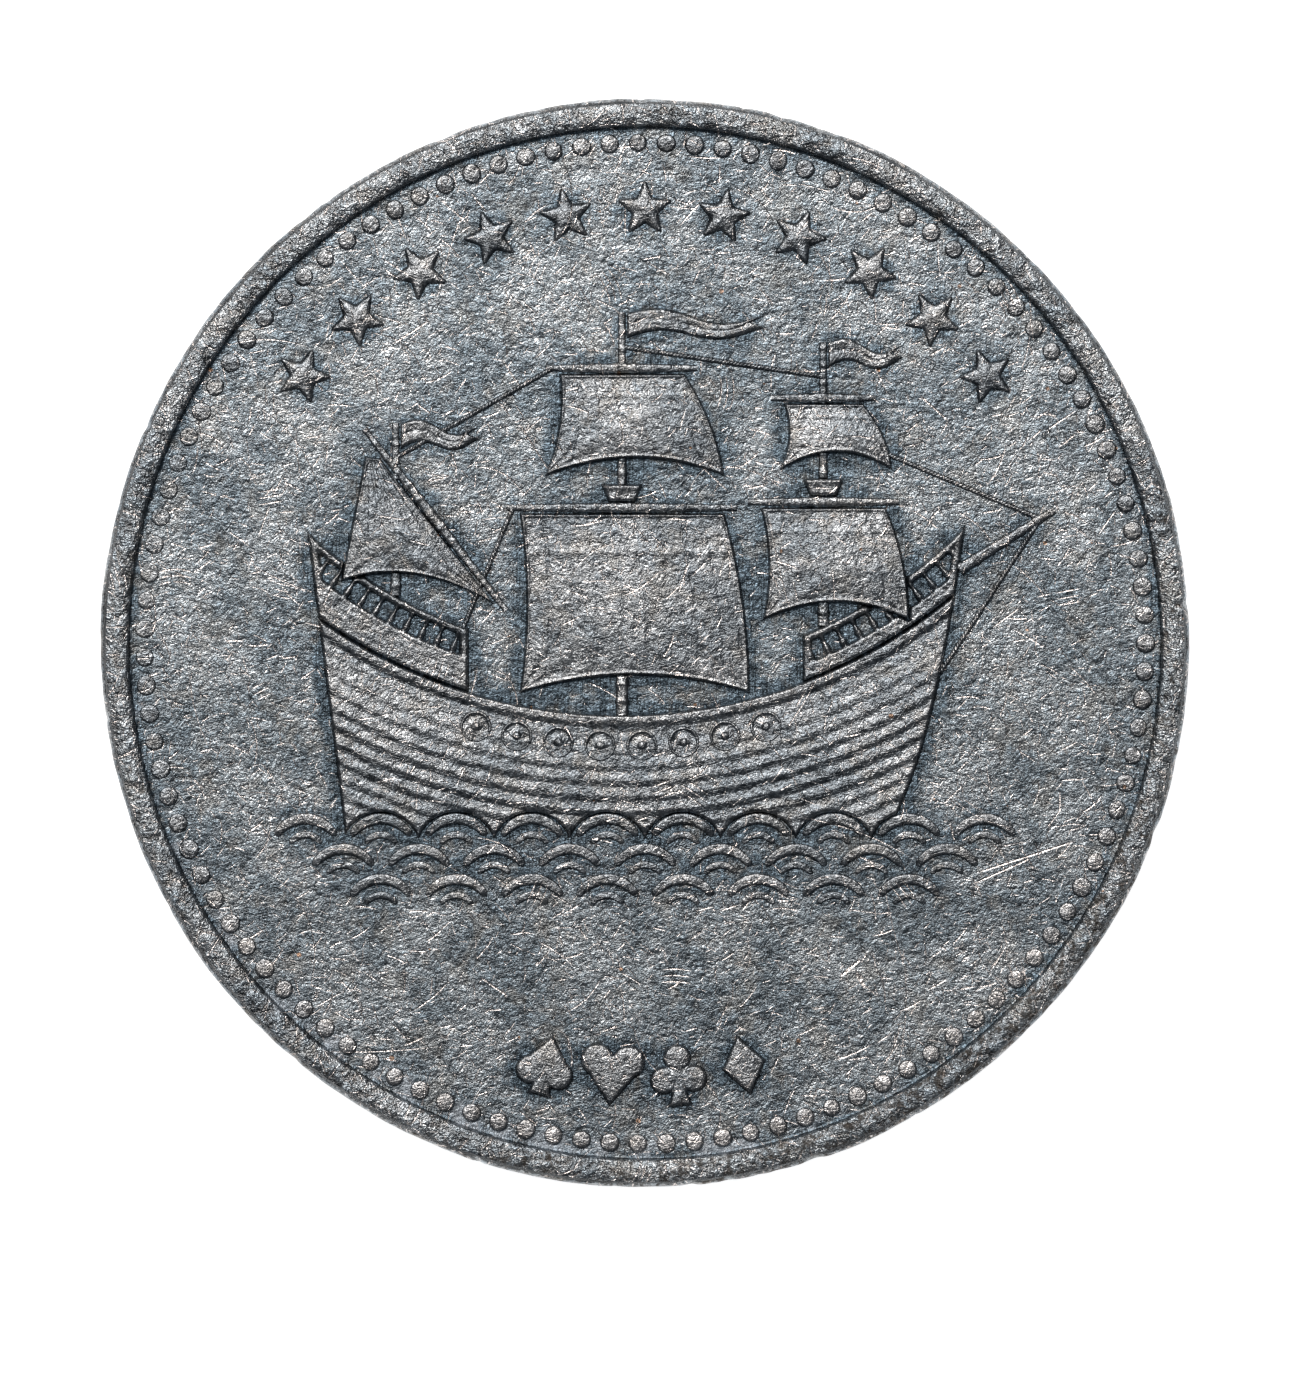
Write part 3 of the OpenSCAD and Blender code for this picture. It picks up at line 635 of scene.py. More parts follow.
# Straight lines, as a slope and the value at 0: how wear, tone and marks follow other values
WORN_LINE = (0.6, 0.4)
WEAR_LINE = (0.85, 0.15)
MOTTLING_LINE = (3.4, 2.6)
TARNISH_SHADE_LINE = (-0.55, 1.0)
PALE_LINE = (-0.6, 1.0)
RUBBED_LINE = (0.45, 0.05)
RUBBING_LEVEL_LINE = (-0.1, 0.66)
CUT_REACH_LINE = (0.9, 0.5)
CUT_STRENGTH_LINE = (0.75, 0.25)
GRIME_LEVEL_LINE = (-0.28, 0.75)
FILM_LEVEL_LINE = (-0.5, 0.85)
ROUGHENING_LINE = (1.5, 1.5)

# How strongly each mark and stain shows
OPEN_GRAIN = 0.25
GRAIN_TONE = 1.5
LEAST_TONE = 0.3
# CUT_STRENGTH is how far the cuts are painted towards the warm glint colour.
CUT_STRENGTH = 1.8
PROUD_WEAR_HIGHLIGHT_SHARE = 0.05
POLISH_SHARE = 0.6
TAN_SHARE = 0.25
FILM_SHARE = 0.5
GRIME_SHARE = 0.75
RUST_SHARE = 0.6

# Widths of the soft edges of stains, then the specks: how many per mm, their size and the share that rusts
GRIME_SOFTNESS = 0.13
FILM_SOFTNESS = 0.25
SPECKS_PER_MM = 0.5
SPECK_R = 0.032
RUSTY_SPECKS = 0.35

# What marks do to the roughness and the height
MOTTLE_ROUGHNESS = 0.25
CUT_ROUGHNESS = -0.12
DIRT_ROUGHNESS = 0.25
RUBBING_DEPTH = 0.2
CUT_DEPTH = 0.34
GRAIN_DEPTH = 0.3
LINES_SPREAD = 0.8
CUT_ENDS = 1.8
GOUGE_ENDS = 3.0

# Layers of rubbing: direction, marks per mm along and across it, and a shift of the pattern
RUBBING = (
    (0.25, 2.2, 30.0, 3.0),
    (0.95, 1.8, 25.0, 17.0),
    (1.5, 2.6, 34.0, 29.0),
    (2.15, 1.6, 27.0, 41.0),
    (2.8, 2.4, 32.0, 57.0),
)
RUBBING_STEP = 0.2

# Scatters of cuts: cells per mm, half length, half width, share of the cells that are cut,
# pitch of the lines where a cell holds several, and a shift of the pattern
LONE = 9.0
CUTS = (
    (4.4, 0.1, 0.014, 0.85, LONE, (53.9, 11.3, 0.0)),
    (2.6, 0.17, 0.017, 0.8, LONE, (3.1, 7.7, 0.0)),
    (1.6, 0.26, 0.021, 0.75, LONE, (17.3, 27.7, 0.0)),
    (0.8, 0.5, 0.021, 0.7, LONE, (41.1, 3.7, 0.0)),
    (0.36, 1.5, 0.016, 0.85, LONE, (9.1, 37.9, 0.0)),
    (0.42, 0.32, 0.02, 0.5, 0.15, (23.1, 51.3, 0.0)),
)

# The deeper gouges in the field: centre, direction in degrees, half length and half width
GOUGES = (
    ((4.9, -7.75), 40, 0.34, 0.05),
    ((5.15, -8.05), -62, 0.22, 0.05),
    ((9.1, -5.1), 18, 1.25, 0.03),
    ((8.5, -5.45), 24, 0.8, 0.025),
    ((-2.6, 4.6), -58, 0.75, 0.022),
    ((-3.6, -8.2), -35, 0.4, 0.03),
    ((-5.6, 7.4), 33, 0.5, 0.025),
    ((6.9, 5.6), -42, 0.45, 0.03),
)


def rubbing_group():
    """Fine rubbing: short faint marks that lie over one another in many directions."""
    tree, given, result = new_group(
        "rubbing",
        "ShaderNodeTree",
        [("Where", VECTOR, None), ("Level", FLOAT, 0.55)],
        [("Mark", FLOAT)],
    )
    top = maths(tree, "ADD", given["Level"], RUBBING_STEP)

    def marks():
        for lie, per_mm_along, per_mm_across, shift in RUBBING:
            laid = add(tree, "ShaderNodeMapping", {
                "Vector": given["Where"],
                "Location": (shift, shift / 2, 0.0),
                "Rotation": (0.0, 0.0, lie),
                "Scale": (1 / per_mm_along, 1 / per_mm_across, 1.0),
            }, vector_type="TEXTURE").outputs[0]
            yield stepped(tree, noise(tree, laid, 1.0, 0.0), given["Level"], top)

    tree.links.new(strongest(tree, marks()), result["Mark"])
    return tree


def short_cuts_group():
    """One short cut in each cell of a scatter, each at its own angle, and only in a share of the cells."""
    tree, given, result = new_group(
        "short_cuts",
        "ShaderNodeTree",
        [("Where", VECTOR, None), ("Cells per mm", FLOAT, 2.0), ("Half Length", FLOAT, 0.2),
         ("Half Width", FLOAT, 0.015), ("Share", FLOAT, 0.8), ("Lines Pitch", FLOAT, LONE)],
        [("Mark", FLOAT)],
    )
    cells, chance = scatter(tree, given["Where"], given["Cells per mm"])
    local = vector_sum(tree, "SUBTRACT", given["Where"], cells["Position"])
    axes = laid_along(tree, local, times(tree, chance[0], math.pi))
    bow = maths(tree, "SUBTRACT", chance[2], 0.5)
    across = times_plus(tree, times(tree, axes[0], axes[0]), bow, axes[1])
    spread = times(tree, given["Half Length"], LINES_SPREAD)
    in_spread = maths(tree, "LESS_THAN", maths(tree, "ABSOLUTE", across), spread)
    near = maths(tree, "PINGPONG", across, times(tree, given["Lines Pitch"], 0.5))
    off = maths(tree, "DIVIDE", near, given["Half Width"])
    reach = times(tree, given["Half Length"], times_plus(tree, chance[2], *CUT_REACH_LINE))
    along = maths(tree, "DIVIDE", maths(tree, "ABSOLUTE", axes[0]), reach)
    line = maths(tree, "SUBTRACT", 1.0, off, clamp=True)
    ends = times(tree, maths(tree, "SUBTRACT", 1.0, along), CUT_ENDS, clamp=True)
    there = maths(tree, "LESS_THAN", chance[1], given["Share"])
    mark = times(tree, times(tree, line, ends), times(tree, there, in_spread))
    strength = times_plus(tree, chance[2], *CUT_STRENGTH_LINE)
    tree.links.new(times(tree, mark, strength), result["Mark"])
    return tree


def scuffs_group(rubbing, short_cuts):
    """Rubbing and several scatters of cuts over it, from nicks to long hairlines and chatter marks."""
    tree, given, result = new_group(
        "scuffs",
        "ShaderNodeTree",
        [("Where", VECTOR, None), ("Wear", FLOAT, 0.8)],
        [("Rubbing", FLOAT), ("Cuts", FLOAT)],
    )
    level = times_plus(tree, given["Wear"], *RUBBING_LEVEL_LINE)
    rubbed = use_group(tree, rubbing, {"Where": given["Where"], "Level": level})["Mark"]
    cuts = strongest(tree, (
        use_group(tree, short_cuts, {
            "Where": vector_sum(tree, "ADD", given["Where"], shift),
            "Cells per mm": cells,
            "Half Length": half_length,
            "Half Width": half_width,
            "Share": times(tree, given["Wear"], share),
            "Lines Pitch": pitch,
        })["Mark"]
        for cells, half_length, half_width, share, pitch, shift in CUTS
    ))
    tree.links.new(rubbed, result["Rubbing"])
    tree.links.new(cuts, result["Cuts"])
    return tree


def stains_group():
    """Grime in spots, a pale film and a tan tinge in patches, and a few specks of rust."""
    tree, given, result = new_group(
        "stains",
        "ShaderNodeTree",
        [("Where", VECTOR, None), ("Grime", FLOAT, 0.0), ("Film", FLOAT, 0.0)],
        [("Grime", FLOAT), ("Film", FLOAT), ("Tan", FLOAT), ("Rust", FLOAT)],
    )
    where = given["Where"]
    spots = noise(tree, where, *SPOTS_NOISE)
    grime_level = times_plus(tree, given["Grime"], *GRIME_LEVEL_LINE)
    grime = stepped(tree, spots, grime_level, maths(tree, "ADD", grime_level, GRIME_SOFTNESS))
    veil = noise(tree, where, *VEIL_NOISE)
    film_level = times_plus(tree, given["Film"], *FILM_LEVEL_LINE)
    film = stepped(tree, veil, film_level, maths(tree, "ADD", film_level, FILM_SOFTNESS))
    tan = stepped(tree, veil, *TAN_STEP)
    specks, chance = scatter(tree, where, SPECKS_PER_MM)
    rust = maths(tree, "LESS_THAN", specks["Distance"], times(tree, chance[0], SPECK_R))
    rust = times(tree, rust, maths(tree, "LESS_THAN", chance[1], RUSTY_SPECKS))
    for label, amount in (("Grime", grime), ("Film", film), ("Tan", tan), ("Rust", rust)):
        tree.links.new(amount, result[label])
    return tree


def struck_metal_group(scuffs, stains):
    """The whole finish: grey metal, bluish and darker where relief shelters it from patina and painted
    shade, scuffed pale where it is open, with painted glints on its cuts.
    """
    tree, given, result = new_group(
        "struck_metal",
        "ShaderNodeTree",
        [("Where", VECTOR, None), ("Shelter", FLOAT, 0.0), ("Open Colour", COLOUR, None),
         ("Patina And Shade Colour", COLOUR, None), ("Scuff Glint Colour", COLOUR, None), ("Wear", FLOAT, 0.8),
         ("Scuff Strength", FLOAT, 0.8), ("Grime", FLOAT, 0.0), ("Film", FLOAT, 0.0),
         ("Roughness", FLOAT, 0.4), ("Batter", FLOAT, 0.0), ("Tarnish_Shade", FLOAT, 0.0), ("Gouges", FLOAT, 0.0),
         ("Polish", FLOAT, 0.0)],
        [("Colour", COLOUR), ("Roughness", FLOAT), ("Height", FLOAT)],
    )
    where = given["Where"]

    # Where the metal is sheltered, where it is open, and where it is worn; bare marks proud edges, which
    # are painted paler as wear and as a highlight
    bare = stepped(tree, given["Shelter"], *PROUD_WEAR_HIGHLIGHT_STEP)
    cloud = noise(tree, where, *CLOUD_NOISE)
    rough_spots = maths(tree, "SUBTRACT", noise(tree, where, *MOTTLE_NOISE), 0.5)
    ragged = times_plus(tree, maths(tree, "SUBTRACT", cloud, 0.5), SHELTER_CLOUD, given["Shelter"])
    ragged = times_plus(tree, rough_spots, SHELTER_MOTTLE, ragged)
    sheltered = stepped(tree, ragged, *SHELTERED_STEP)
    open_share = maths(tree, "SUBTRACT", 1.0, sheltered)
    stretch = add(tree, "ShaderNodeMapping", {"Vector": where, "Scale": GRAIN_PER_MM}).outputs[0]
    grain = noise(tree, stretch, 1.0, 1.0)
    rubbed = stepped(tree, cloud, *RUBBED_STEP)
    worn = times(tree, open_share, times_plus(tree, rubbed, *WORN_LINE), clamp=True)

    # Its own colour, uneven and tarnished, and darker towards the lower side by painted shade
    # The sheltered colour is partly patina in the hollows and partly painted shade round the foot of the
    # relief and inside the rim.
    base = blended(tree, worn, given["Patina And Shade Colour"], given["Open Colour"])
    tone = times_plus(tree, rough_spots, times_plus(tree, given["Batter"], *MOTTLING_LINE), 1.0)
    streak = times(tree, maths(tree, "SUBTRACT", grain, 0.5), maths(tree, "ADD", sheltered, OPEN_GRAIN))
    tone = maths(tree, "MAXIMUM", times_plus(tree, streak, GRAIN_TONE, tone), LEAST_TONE)
    # The tarnish value carries painted shade on the lower side as well as tarnish.
    tone = times(tree, tone, times_plus(tree, given["Tarnish_Shade"], *TARNISH_SHADE_LINE))
    tones = add(tree, "ShaderNodeCombineXYZ", {0: tone, 1: tone, 2: tone}).outputs[0]
    base = vector_sum(tree, "MULTIPLY", base, tones)

    # Rubbing, cuts and polish. The cuts are painted paler in a warm colour, partly fresh metal and partly
    # painted glints.
    wear = times(tree, given["Wear"], times_plus(tree, worn, *WEAR_LINE))
    marks = use_group(tree, scuffs, {"Where": where, "Wear": wear})
    rubbing = times(tree, marks["Rubbing"], given["Scuff Strength"])
    cuts = maths(tree, "MAXIMUM", marks["Cuts"], given["Gouges"])
    kept_pale = times_plus(tree, given["Tarnish_Shade"], *PALE_LINE)
    rubbed_share = times(tree, rubbing, times_plus(tree, worn, *RUBBED_LINE))
    base = blended(tree, times(tree, rubbed_share, kept_pale), base, RUBBED_COLOUR)
    cut_strength = times(tree, given["Scuff Strength"], CUT_STRENGTH)
    cut_glint_share = times(tree, cuts, cut_strength, clamp=True)
    pale = times(tree, cut_glint_share, kept_pale)
    colour = blended(tree, pale, base, given["Scuff Glint Colour"])
    # Proud edges are painted towards the glint colour, partly as wear and partly as a painted highlight.
    colour = blended(tree, times(tree, bare, PROUD_WEAR_HIGHLIGHT_SHARE), colour, given["Scuff Glint Colour"])
    colour = blended(tree, times(tree, given["Polish"], POLISH_SHARE), colour, given["Scuff Glint Colour"])

    # Stains
    dirt = use_group(tree, stains, {"Where": where, "Grime": given["Grime"], "Film": given["Film"]})
    film = times(tree, dirt["Film"], FILM_SHARE)
    colour = blended(tree, times(tree, dirt["Tan"], TAN_SHARE), colour, TAN_COLOUR)
    colour = blended(tree, film, colour, FILM_COLOUR)
    colour = blended(tree, times(tree, dirt["Grime"], GRIME_SHARE), colour, GRIME_COLOUR)
    colour = blended(tree, times(tree, dirt["Rust"], RUST_SHARE), colour, RUST_COLOUR)

    # Roughness and height
    rough = times_plus(tree, rough_spots, MOTTLE_ROUGHNESS, given["Roughness"])
    rough = times_plus(tree, pale, CUT_ROUGHNESS, rough)
    rough = times_plus(tree, maths(tree, "MAXIMUM", dirt["Grime"], film), DIRT_ROUGHNESS, rough)
    dug = times_plus(tree, rubbing, RUBBING_DEPTH, times(tree, cuts, CUT_DEPTH))
    height = maths(tree, "SUBTRACT", 1.0, dug)
    height = times_plus(tree, rough_spots, times_plus(tree, given["Batter"], *ROUGHENING_LINE), height)
    height = times_plus(tree, streak, GRAIN_DEPTH, height)
    for label, socket in (("Colour", colour), ("Roughness", rough), ("Height", height)):
        tree.links.new(socket, result[label])
    return tree


def gouge_group():
    """One straight gouge at a place."""
    tree, given, result = new_group(
        "gouge",
        "ShaderNodeTree",
        [("Where", VECTOR, None), ("Centre", VECTOR, None), ("Lie", FLOAT, 0.0),
         ("Half Length", FLOAT, 0.3), ("Half Width", FLOAT, 0.03)],
        [("Mark", FLOAT)],
    )
    local = vector_sum(tree, "SUBTRACT", given["Where"], given["Centre"])
    axes = laid_along(tree, local, times(tree, given["Lie"], -1.0))
    along = maths(tree, "DIVIDE", maths(tree, "ABSOLUTE", axes[0]), given["Half Length"])
    off = maths(tree, "DIVIDE", maths(tree, "ABSOLUTE", axes[1]), given["Half Width"])
    line = maths(tree, "SUBTRACT", 1.0, off, clamp=True)
    ends = times(tree, maths(tree, "SUBTRACT", 1.0, along), GOUGE_ENDS, clamp=True)
    tree.links.new(times(tree, line, ends), result["Mark"])
    return tree


def metal(name, finish, values, on_blank=False):
    """A material of the struck metal. Its pattern lies on the piece's place, or on the blank's own skin."""
    material = bpy.data.materials.new(name)
    material.use_nodes = True
    tree = material.node_tree
    shader = tree.nodes["Principled BSDF"]
    shader.inputs["Metallic"].default_value = 1.0
    given = dict(values)
    given["Shelter"] = attribute(tree, "shelter")
    given["Polish"] = attribute(tree, "polish")
    if on_blank:
        where = attribute(tree, "skin", "Vector")
        for label in ("Grime", "Film", "Batter", "Tarnish_Shade"):
            given[label] = attribute(tree, label.lower())
        gouge = gouge_group()
        given["Gouges"] = strongest(tree, (
            use_group(tree, gouge, {
                "Where": where,
                "Centre": (*centre, 0.0),
                "Lie": math.radians(lie),
                "Half Length": half_length,
                "Half Width": half_width,
            })["Mark"]
            for centre, lie, half_length, half_width in GOUGES
        ))
    else:
        place = add(tree, "ShaderNodeTexCoord").outputs["Object"]
        in_mm = (1 / MM, 1 / MM, 1 / MM)
        where = add(tree, "ShaderNodeMapping", {"Vector": place, "Scale": in_mm}).outputs[0]
    made = use_group(tree, finish, {"Where": where, **given})
    tree.links.new(made["Colour"], shader.inputs["Base Color"])
    tree.links.new(made["Roughness"], shader.inputs["Roughness"])
    bump_node = add(tree, "ShaderNodeBump", {"Height": made["Height"], "Distance": BUMP_DEPTH * MM})
    tree.links.new(bump_node.outputs[0], shader.inputs["Normal"])
    return material


finish = struck_metal_group(scuffs_group(rubbing_group(), short_cuts_group()), stains_group())
# Both metals paint their cuts in a warm scuff colour like the window light: painted glints as well as fresh
# metal.
BLANK_METAL = metal("blank_metal", finish, {
    "Open Colour": (0.218, 0.254, 0.28, 1.0),
    "Patina And Shade Colour": (0.1, 0.135, 0.165, 1.0),
    "Scuff Glint Colour": (0.97, 0.88, 0.83, 1.0),
    "Wear": 0.95,
    "Scuff Strength": 1.0,
    "Roughness": 0.36,
}, on_blank=True)
RELIEF_METAL = metal("relief_metal", finish, {
    "Open Colour": (0.165, 0.176, 0.186, 1.0),
    "Patina And Shade Colour": (0.12, 0.146, 0.17, 1.0),
    "Scuff Glint Colour": (0.97, 0.89, 0.84, 1.0),
    "Wear": 0.8,
    "Scuff Strength": 0.8,
    "Roughness": 0.35,
})


# Trees that repeat a form or follow a path

STRIKE_FALL = 4.0
RIDGE_POINTS = 26
RIDGE_ROUND = 0.4
RIDGE_TAPER = 0.65


def clad(tree, given, result, geometry):
    """Ends a tree with real geometry in the given material."""
    real = add(tree, "GeometryNodeRealizeInstances", {0: geometry}).outputs[0]
    covered = add(tree, "GeometryNodeSetMaterial", {"Geometry": real, "Material": given["Material"]})
    tree.links.new(covered.outputs[0], result["Geometry"])
    return tree


def forms_on_arc_tree():
    """A form repeated round an arc, each one a little uneven, and weakly struck towards one side."""
    tree, given, result = new_group(
        "forms_on_arc",
        "GeometryNodeTree",
        [("Geometry", GEOMETRY, None), ("Form", OBJECT, None), ("Count", INT, 8),
         ("Ring Radius", FLOAT, 1.0), ("Centre", VECTOR, None), ("First Angle", FLOAT, 0.0),
         ("Step", FLOAT, 0.1), ("Form Size", VECTOR, None), ("Uneven", FLOAT, 0.0),
         ("Weak Angle", FLOAT, 0.0), ("Weak Share", FLOAT, 0.0), ("Seed", INT, 1),
         ("Material", MATERIAL, None)],
        [("Geometry", GEOMETRY)],
    )
    index = add(tree, "GeometryNodeInputIndex").outputs[0]
    angle = times_plus(tree, index, given["Step"], given["First Angle"])
    out = add(tree, "ShaderNodeCombineXYZ", {
        0: maths(tree, "COSINE", angle), 1: maths(tree, "SINE", angle),
    }).outputs[0]
    reach = add(tree, "ShaderNodeVectorMath", {0: out, "Scale": given["Ring Radius"]}, operation="SCALE")
    place = vector_sum(tree, "ADD", reach.outputs[0], given["Centre"])
    points = add(tree, "GeometryNodePoints", {"Count": given["Count"], "Position": place}).outputs[0]
    form = add(tree, "GeometryNodeObjectInfo", {"Object": given["Form"]}).outputs["Geometry"]
    low = maths(tree, "SUBTRACT", 1.0, given["Uneven"])
    high = maths(tree, "ADD", 1.0, given["Uneven"])
    sizes = []
    for offset in range(3):
        chance = add(tree, "FunctionNodeRandomValue", {
            RANDOM_LOW: low,
            RANDOM_HIGH: high,
            RANDOM_SEED: maths(tree, "ADD", given["Seed"], float(offset)),
        }, data_type="FLOAT")
        sizes.append(chance.outputs[RANDOM_RESULT])
    facing = maths(tree, "COSINE", maths(tree, "SUBTRACT", angle, given["Weak Angle"]))
    facing = maths(tree, "POWER", maths(tree, "MAXIMUM", facing, 0.0), STRIKE_FALL)
    strike = maths(tree, "SUBTRACT", 1.0, times(tree, facing, given["Weak Share"]))
    sizes[2] = times(tree, sizes[2], strike)
    uneven = add(tree, "ShaderNodeCombineXYZ", dict(enumerate(sizes))).outputs[0]
    size = vector_sum(tree, "MULTIPLY", given["Form Size"], uneven)
    turn = add(tree, "ShaderNodeCombineXYZ", {2: angle}).outputs[0]
    copies = add(tree, "GeometryNodeInstanceOnPoints", {
        "Points": points, "Instance": form, "Rotation": turn, "Scale": size,
    }).outputs[0]
    return clad(tree, given, result, copies)


def swept(tree, path, girth, profile):
    """A bar along a path, as thick as its girth says."""
    sized = add(tree, "GeometryNodeSetCurveRadius", {"Curve": path, "Radius": girth}).outputs[0]
    bar = add(tree, "GeometryNodeCurveToMesh", {
        "Curve": sized, "Profile Curve": profile, "Fill Caps": True,
    })
    if "Scale" in bar.inputs:
        tree.links.new(add(tree, "GeometryNodeInputRadius").outputs[0], bar.inputs["Scale"])
    return bar.outputs[0]


def block_profile(tree, tall, rounding):
    """Outline of a bar that wear has left with a flat top and round corners."""
    block = add(tree, "GeometryNodeCurvePrimitiveQuadrilateral", {"Width": 2.0, "Height": tall}).outputs[0]
    rounded = add(tree, "GeometryNodeFilletCurve", {
        "Curve": block, "Radius": rounding, "Count": 5,
    }, mode="POLY")
    return rounded.outputs[0]


def rounded_bars_tree():
    """Worn bars along the edges of a drawn path, by the girth stored on it, flattened by a share."""
    tree, given, result = new_group(
        "rounded_bars",
        "GeometryNodeTree",
        [("Geometry", GEOMETRY, None), ("Rounding", FLOAT, 0.7), ("Flatness", FLOAT, 1.0),
         ("Material", MATERIAL, None)],
        [("Geometry", GEOMETRY)],
    )
    path = add(tree, "GeometryNodeMeshToCurve", {0: given["Geometry"]}).outputs[0]
    girth = add(tree, "GeometryNodeInputNamedAttribute", {"Name": "girth"}, data_type="FLOAT").outputs[0]
    bars = swept(tree, path, girth, block_profile(tree, 1.8, given["Rounding"]))
    scale = add(tree, "ShaderNodeCombineXYZ", {0: 1.0, 1: 1.0, 2: given["Flatness"]}).outputs[0]
    flat = add(tree, "GeometryNodeTransform", {"Geometry": bars, "Scale": scale}).outputs[0]
    smooth = add(tree, "GeometryNodeSetShadeSmooth", {0: flat}).outputs[0]
    return clad(tree, given, result, smooth)


def twisted_ropes_tree():
    """Slanting strands laid close along the edges of a drawn path."""
    tree, given, result = new_group(
        "twisted_ropes",
        "GeometryNodeTree",
        [("Geometry", GEOMETRY, None), ("Strand Pitch", FLOAT, 0.1), ("Strand Size", VECTOR, None),
         ("Twist", FLOAT, 0.6), ("Material", MATERIAL, None)],
        [("Geometry", GEOMETRY)],
    )
    path = add(tree, "GeometryNodeMeshToCurve", {0: given["Geometry"]}).outputs[0]
    steps = add(tree, "GeometryNodeCurveToPoints", {
        "Curve": path, "Length": given["Strand Pitch"],
    }, mode="LENGTH")
    along = add(tree, "ShaderNodeSeparateXYZ", {0: steps.outputs["Tangent"]}).outputs
    lie = maths(tree, "ARCTAN2", along[1], along[0])
    turn = add(tree, "ShaderNodeCombineXYZ", {2: maths(tree, "ADD", lie, given["Twist"])}).outputs[0]
    strand = add(tree, "GeometryNodeMeshIcoSphere", {"Radius": 1.0, "Subdivisions": 2}).outputs[0]
    strand = add(tree, "GeometryNodeSetShadeSmooth", {0: strand}).outputs[0]
    copies = add(tree, "GeometryNodeInstanceOnPoints", {
        "Points": steps.outputs["Points"],
        "Instance": strand,
        "Rotation": turn,
        "Scale": given["Strand Size"],
    }).outputs[0]
    return clad(tree, given, result, copies)


def wave_rows_tree():
    """A crest and the ripple under it, repeated on each of the given points."""
    tree, given, result = new_group(
        "wave_rows",
        "GeometryNodeTree",
        [("Geometry", GEOMETRY, None), ("Crest Radius", FLOAT, 1.0), ("Crest Width", FLOAT, 0.2),
         ("Ripple Radius", FLOAT, 0.5), ("Ripple Width", FLOAT, 0.1), ("From", FLOAT, 0.5),
         ("Rounding", FLOAT, 0.45), ("Material", MATERIAL, None)],
        [("Geometry", GEOMETRY)],
    )
    sweep = maths(tree, "SUBTRACT", math.pi, times(tree, given["From"], 2.0))
    profile = block_profile(tree, 1.4, given["Rounding"])
    ridges = []
    for ridge in ("Crest", "Ripple"):
        half = times(tree, given[ridge + " Width"], 0.5)
        arc = add(tree, "GeometryNodeCurveArc", {
            "Resolution": RIDGE_POINTS,
            "Radius": maths(tree, "SUBTRACT", given[ridge + " Radius"], half),
            "Start Angle": given["From"],
            "Sweep Angle": sweep,
        }).outputs[0]
        share = add(tree, "GeometryNodeSplineParameter").outputs["Factor"]
        rise = times(tree, times(tree, share, maths(tree, "SUBTRACT", 1.0, share)), 4.0)
        rounded = maths(tree, "POWER", rise, RIDGE_ROUND)
        taper = times_plus(tree, rounded, RIDGE_TAPER, 1 - RIDGE_TAPER)
        ridges.append(swept(tree, arc, times(tree, half, taper), profile))
    join = tree.nodes.new("GeometryNodeJoinGeometry")
    for ridge in ridges:
        tree.links.new(ridge, join.inputs[0])
    smooth = add(tree, "GeometryNodeSetShadeSmooth", {0: join.outputs[0]}).outputs[0]
    copies = add(tree, "GeometryNodeInstanceOnPoints", {
        "Points": given["Geometry"], "Instance": smooth,
    }).outputs[0]
    return clad(tree, given, result, copies)


FORMS_ON_ARC = forms_on_arc_tree()
ROUNDED_BARS = rounded_bars_tree()
TWISTED_ROPES = twisted_ropes_tree()
WAVE_ROWS = wave_rows_tree()


def grown(piece, tree, values):
    """Runs a tree on an object, with its inputs set by name, and keeps the result as a plain mesh."""
    modifier = piece.modifiers.new(tree.name, "NODES")
    modifier.node_group = tree
    for item in tree.interface.items_tree:
        if item.in_out == "INPUT" and item.name in values:
            modifier[item.identifier] = values[item.name]
    return freeze(piece)


def drawn_path(name, runs):
    """An object of bare edges along runs of points, each point with its girth."""
    points = []
    edges = []
    girths = []
    for run, girth, closed in runs:
        start = len(points)
        points.extend((x, y, 0.0) for x, y in run)
        girths.extend(girth)
        edges.extend((start + k, start + k + 1) for k in range(len(run) - 1))
        if closed:
            edges.append((start + len(run) - 1, start))
    mesh = bpy.data.meshes.new(name)
    mesh.from_pydata(points, edges, [])
    store(mesh, "girth", girths)
    return show(name, mesh)


# Lines of the ship


def ring_y(x, r=SHEER_R):
    """Height of a plank line at a place along the ship."""
    return SHEER_Y - math.sqrt(r * r - (x - HULL_MID_X) ** 2)


def bend(a, b, c, count):
    t = np.linspace(0, 1, count + 1)[:, None]
    return (1 - t) ** 2 * np.array(a) + 2 * t * (1 - t) * np.array(b) + t * t * np.array(c)


STERN_FOOT = (STERN_X, SEA_Y)
STERN_HEAD = (STERN_X - STERN_RAKE, SIDE_TOP_Y)
STEM_KNEE = (STEM_X + STEM_RAKE / 2, WATERLINE_Y + HULL_SIDE / 3)
STEM_HEAD = (STEM_X + STEM_RAKE, SIDE_TOP_Y)
STEM_CURVE = bend((STEM_X - STEM_RAKE / 3, SEA_Y), STEM_KNEE, STEM_HEAD, 24)
SIDE_LOOP = [STERN_FOOT, *STEM_CURVE, STERN_HEAD]
STERN_FRONT_X = MIZZEN_MAST[0] + STERN_CASTLE_LEN
BOW_BACK_X = FORE_MAST[0] - BOW_CASTLE_LEN

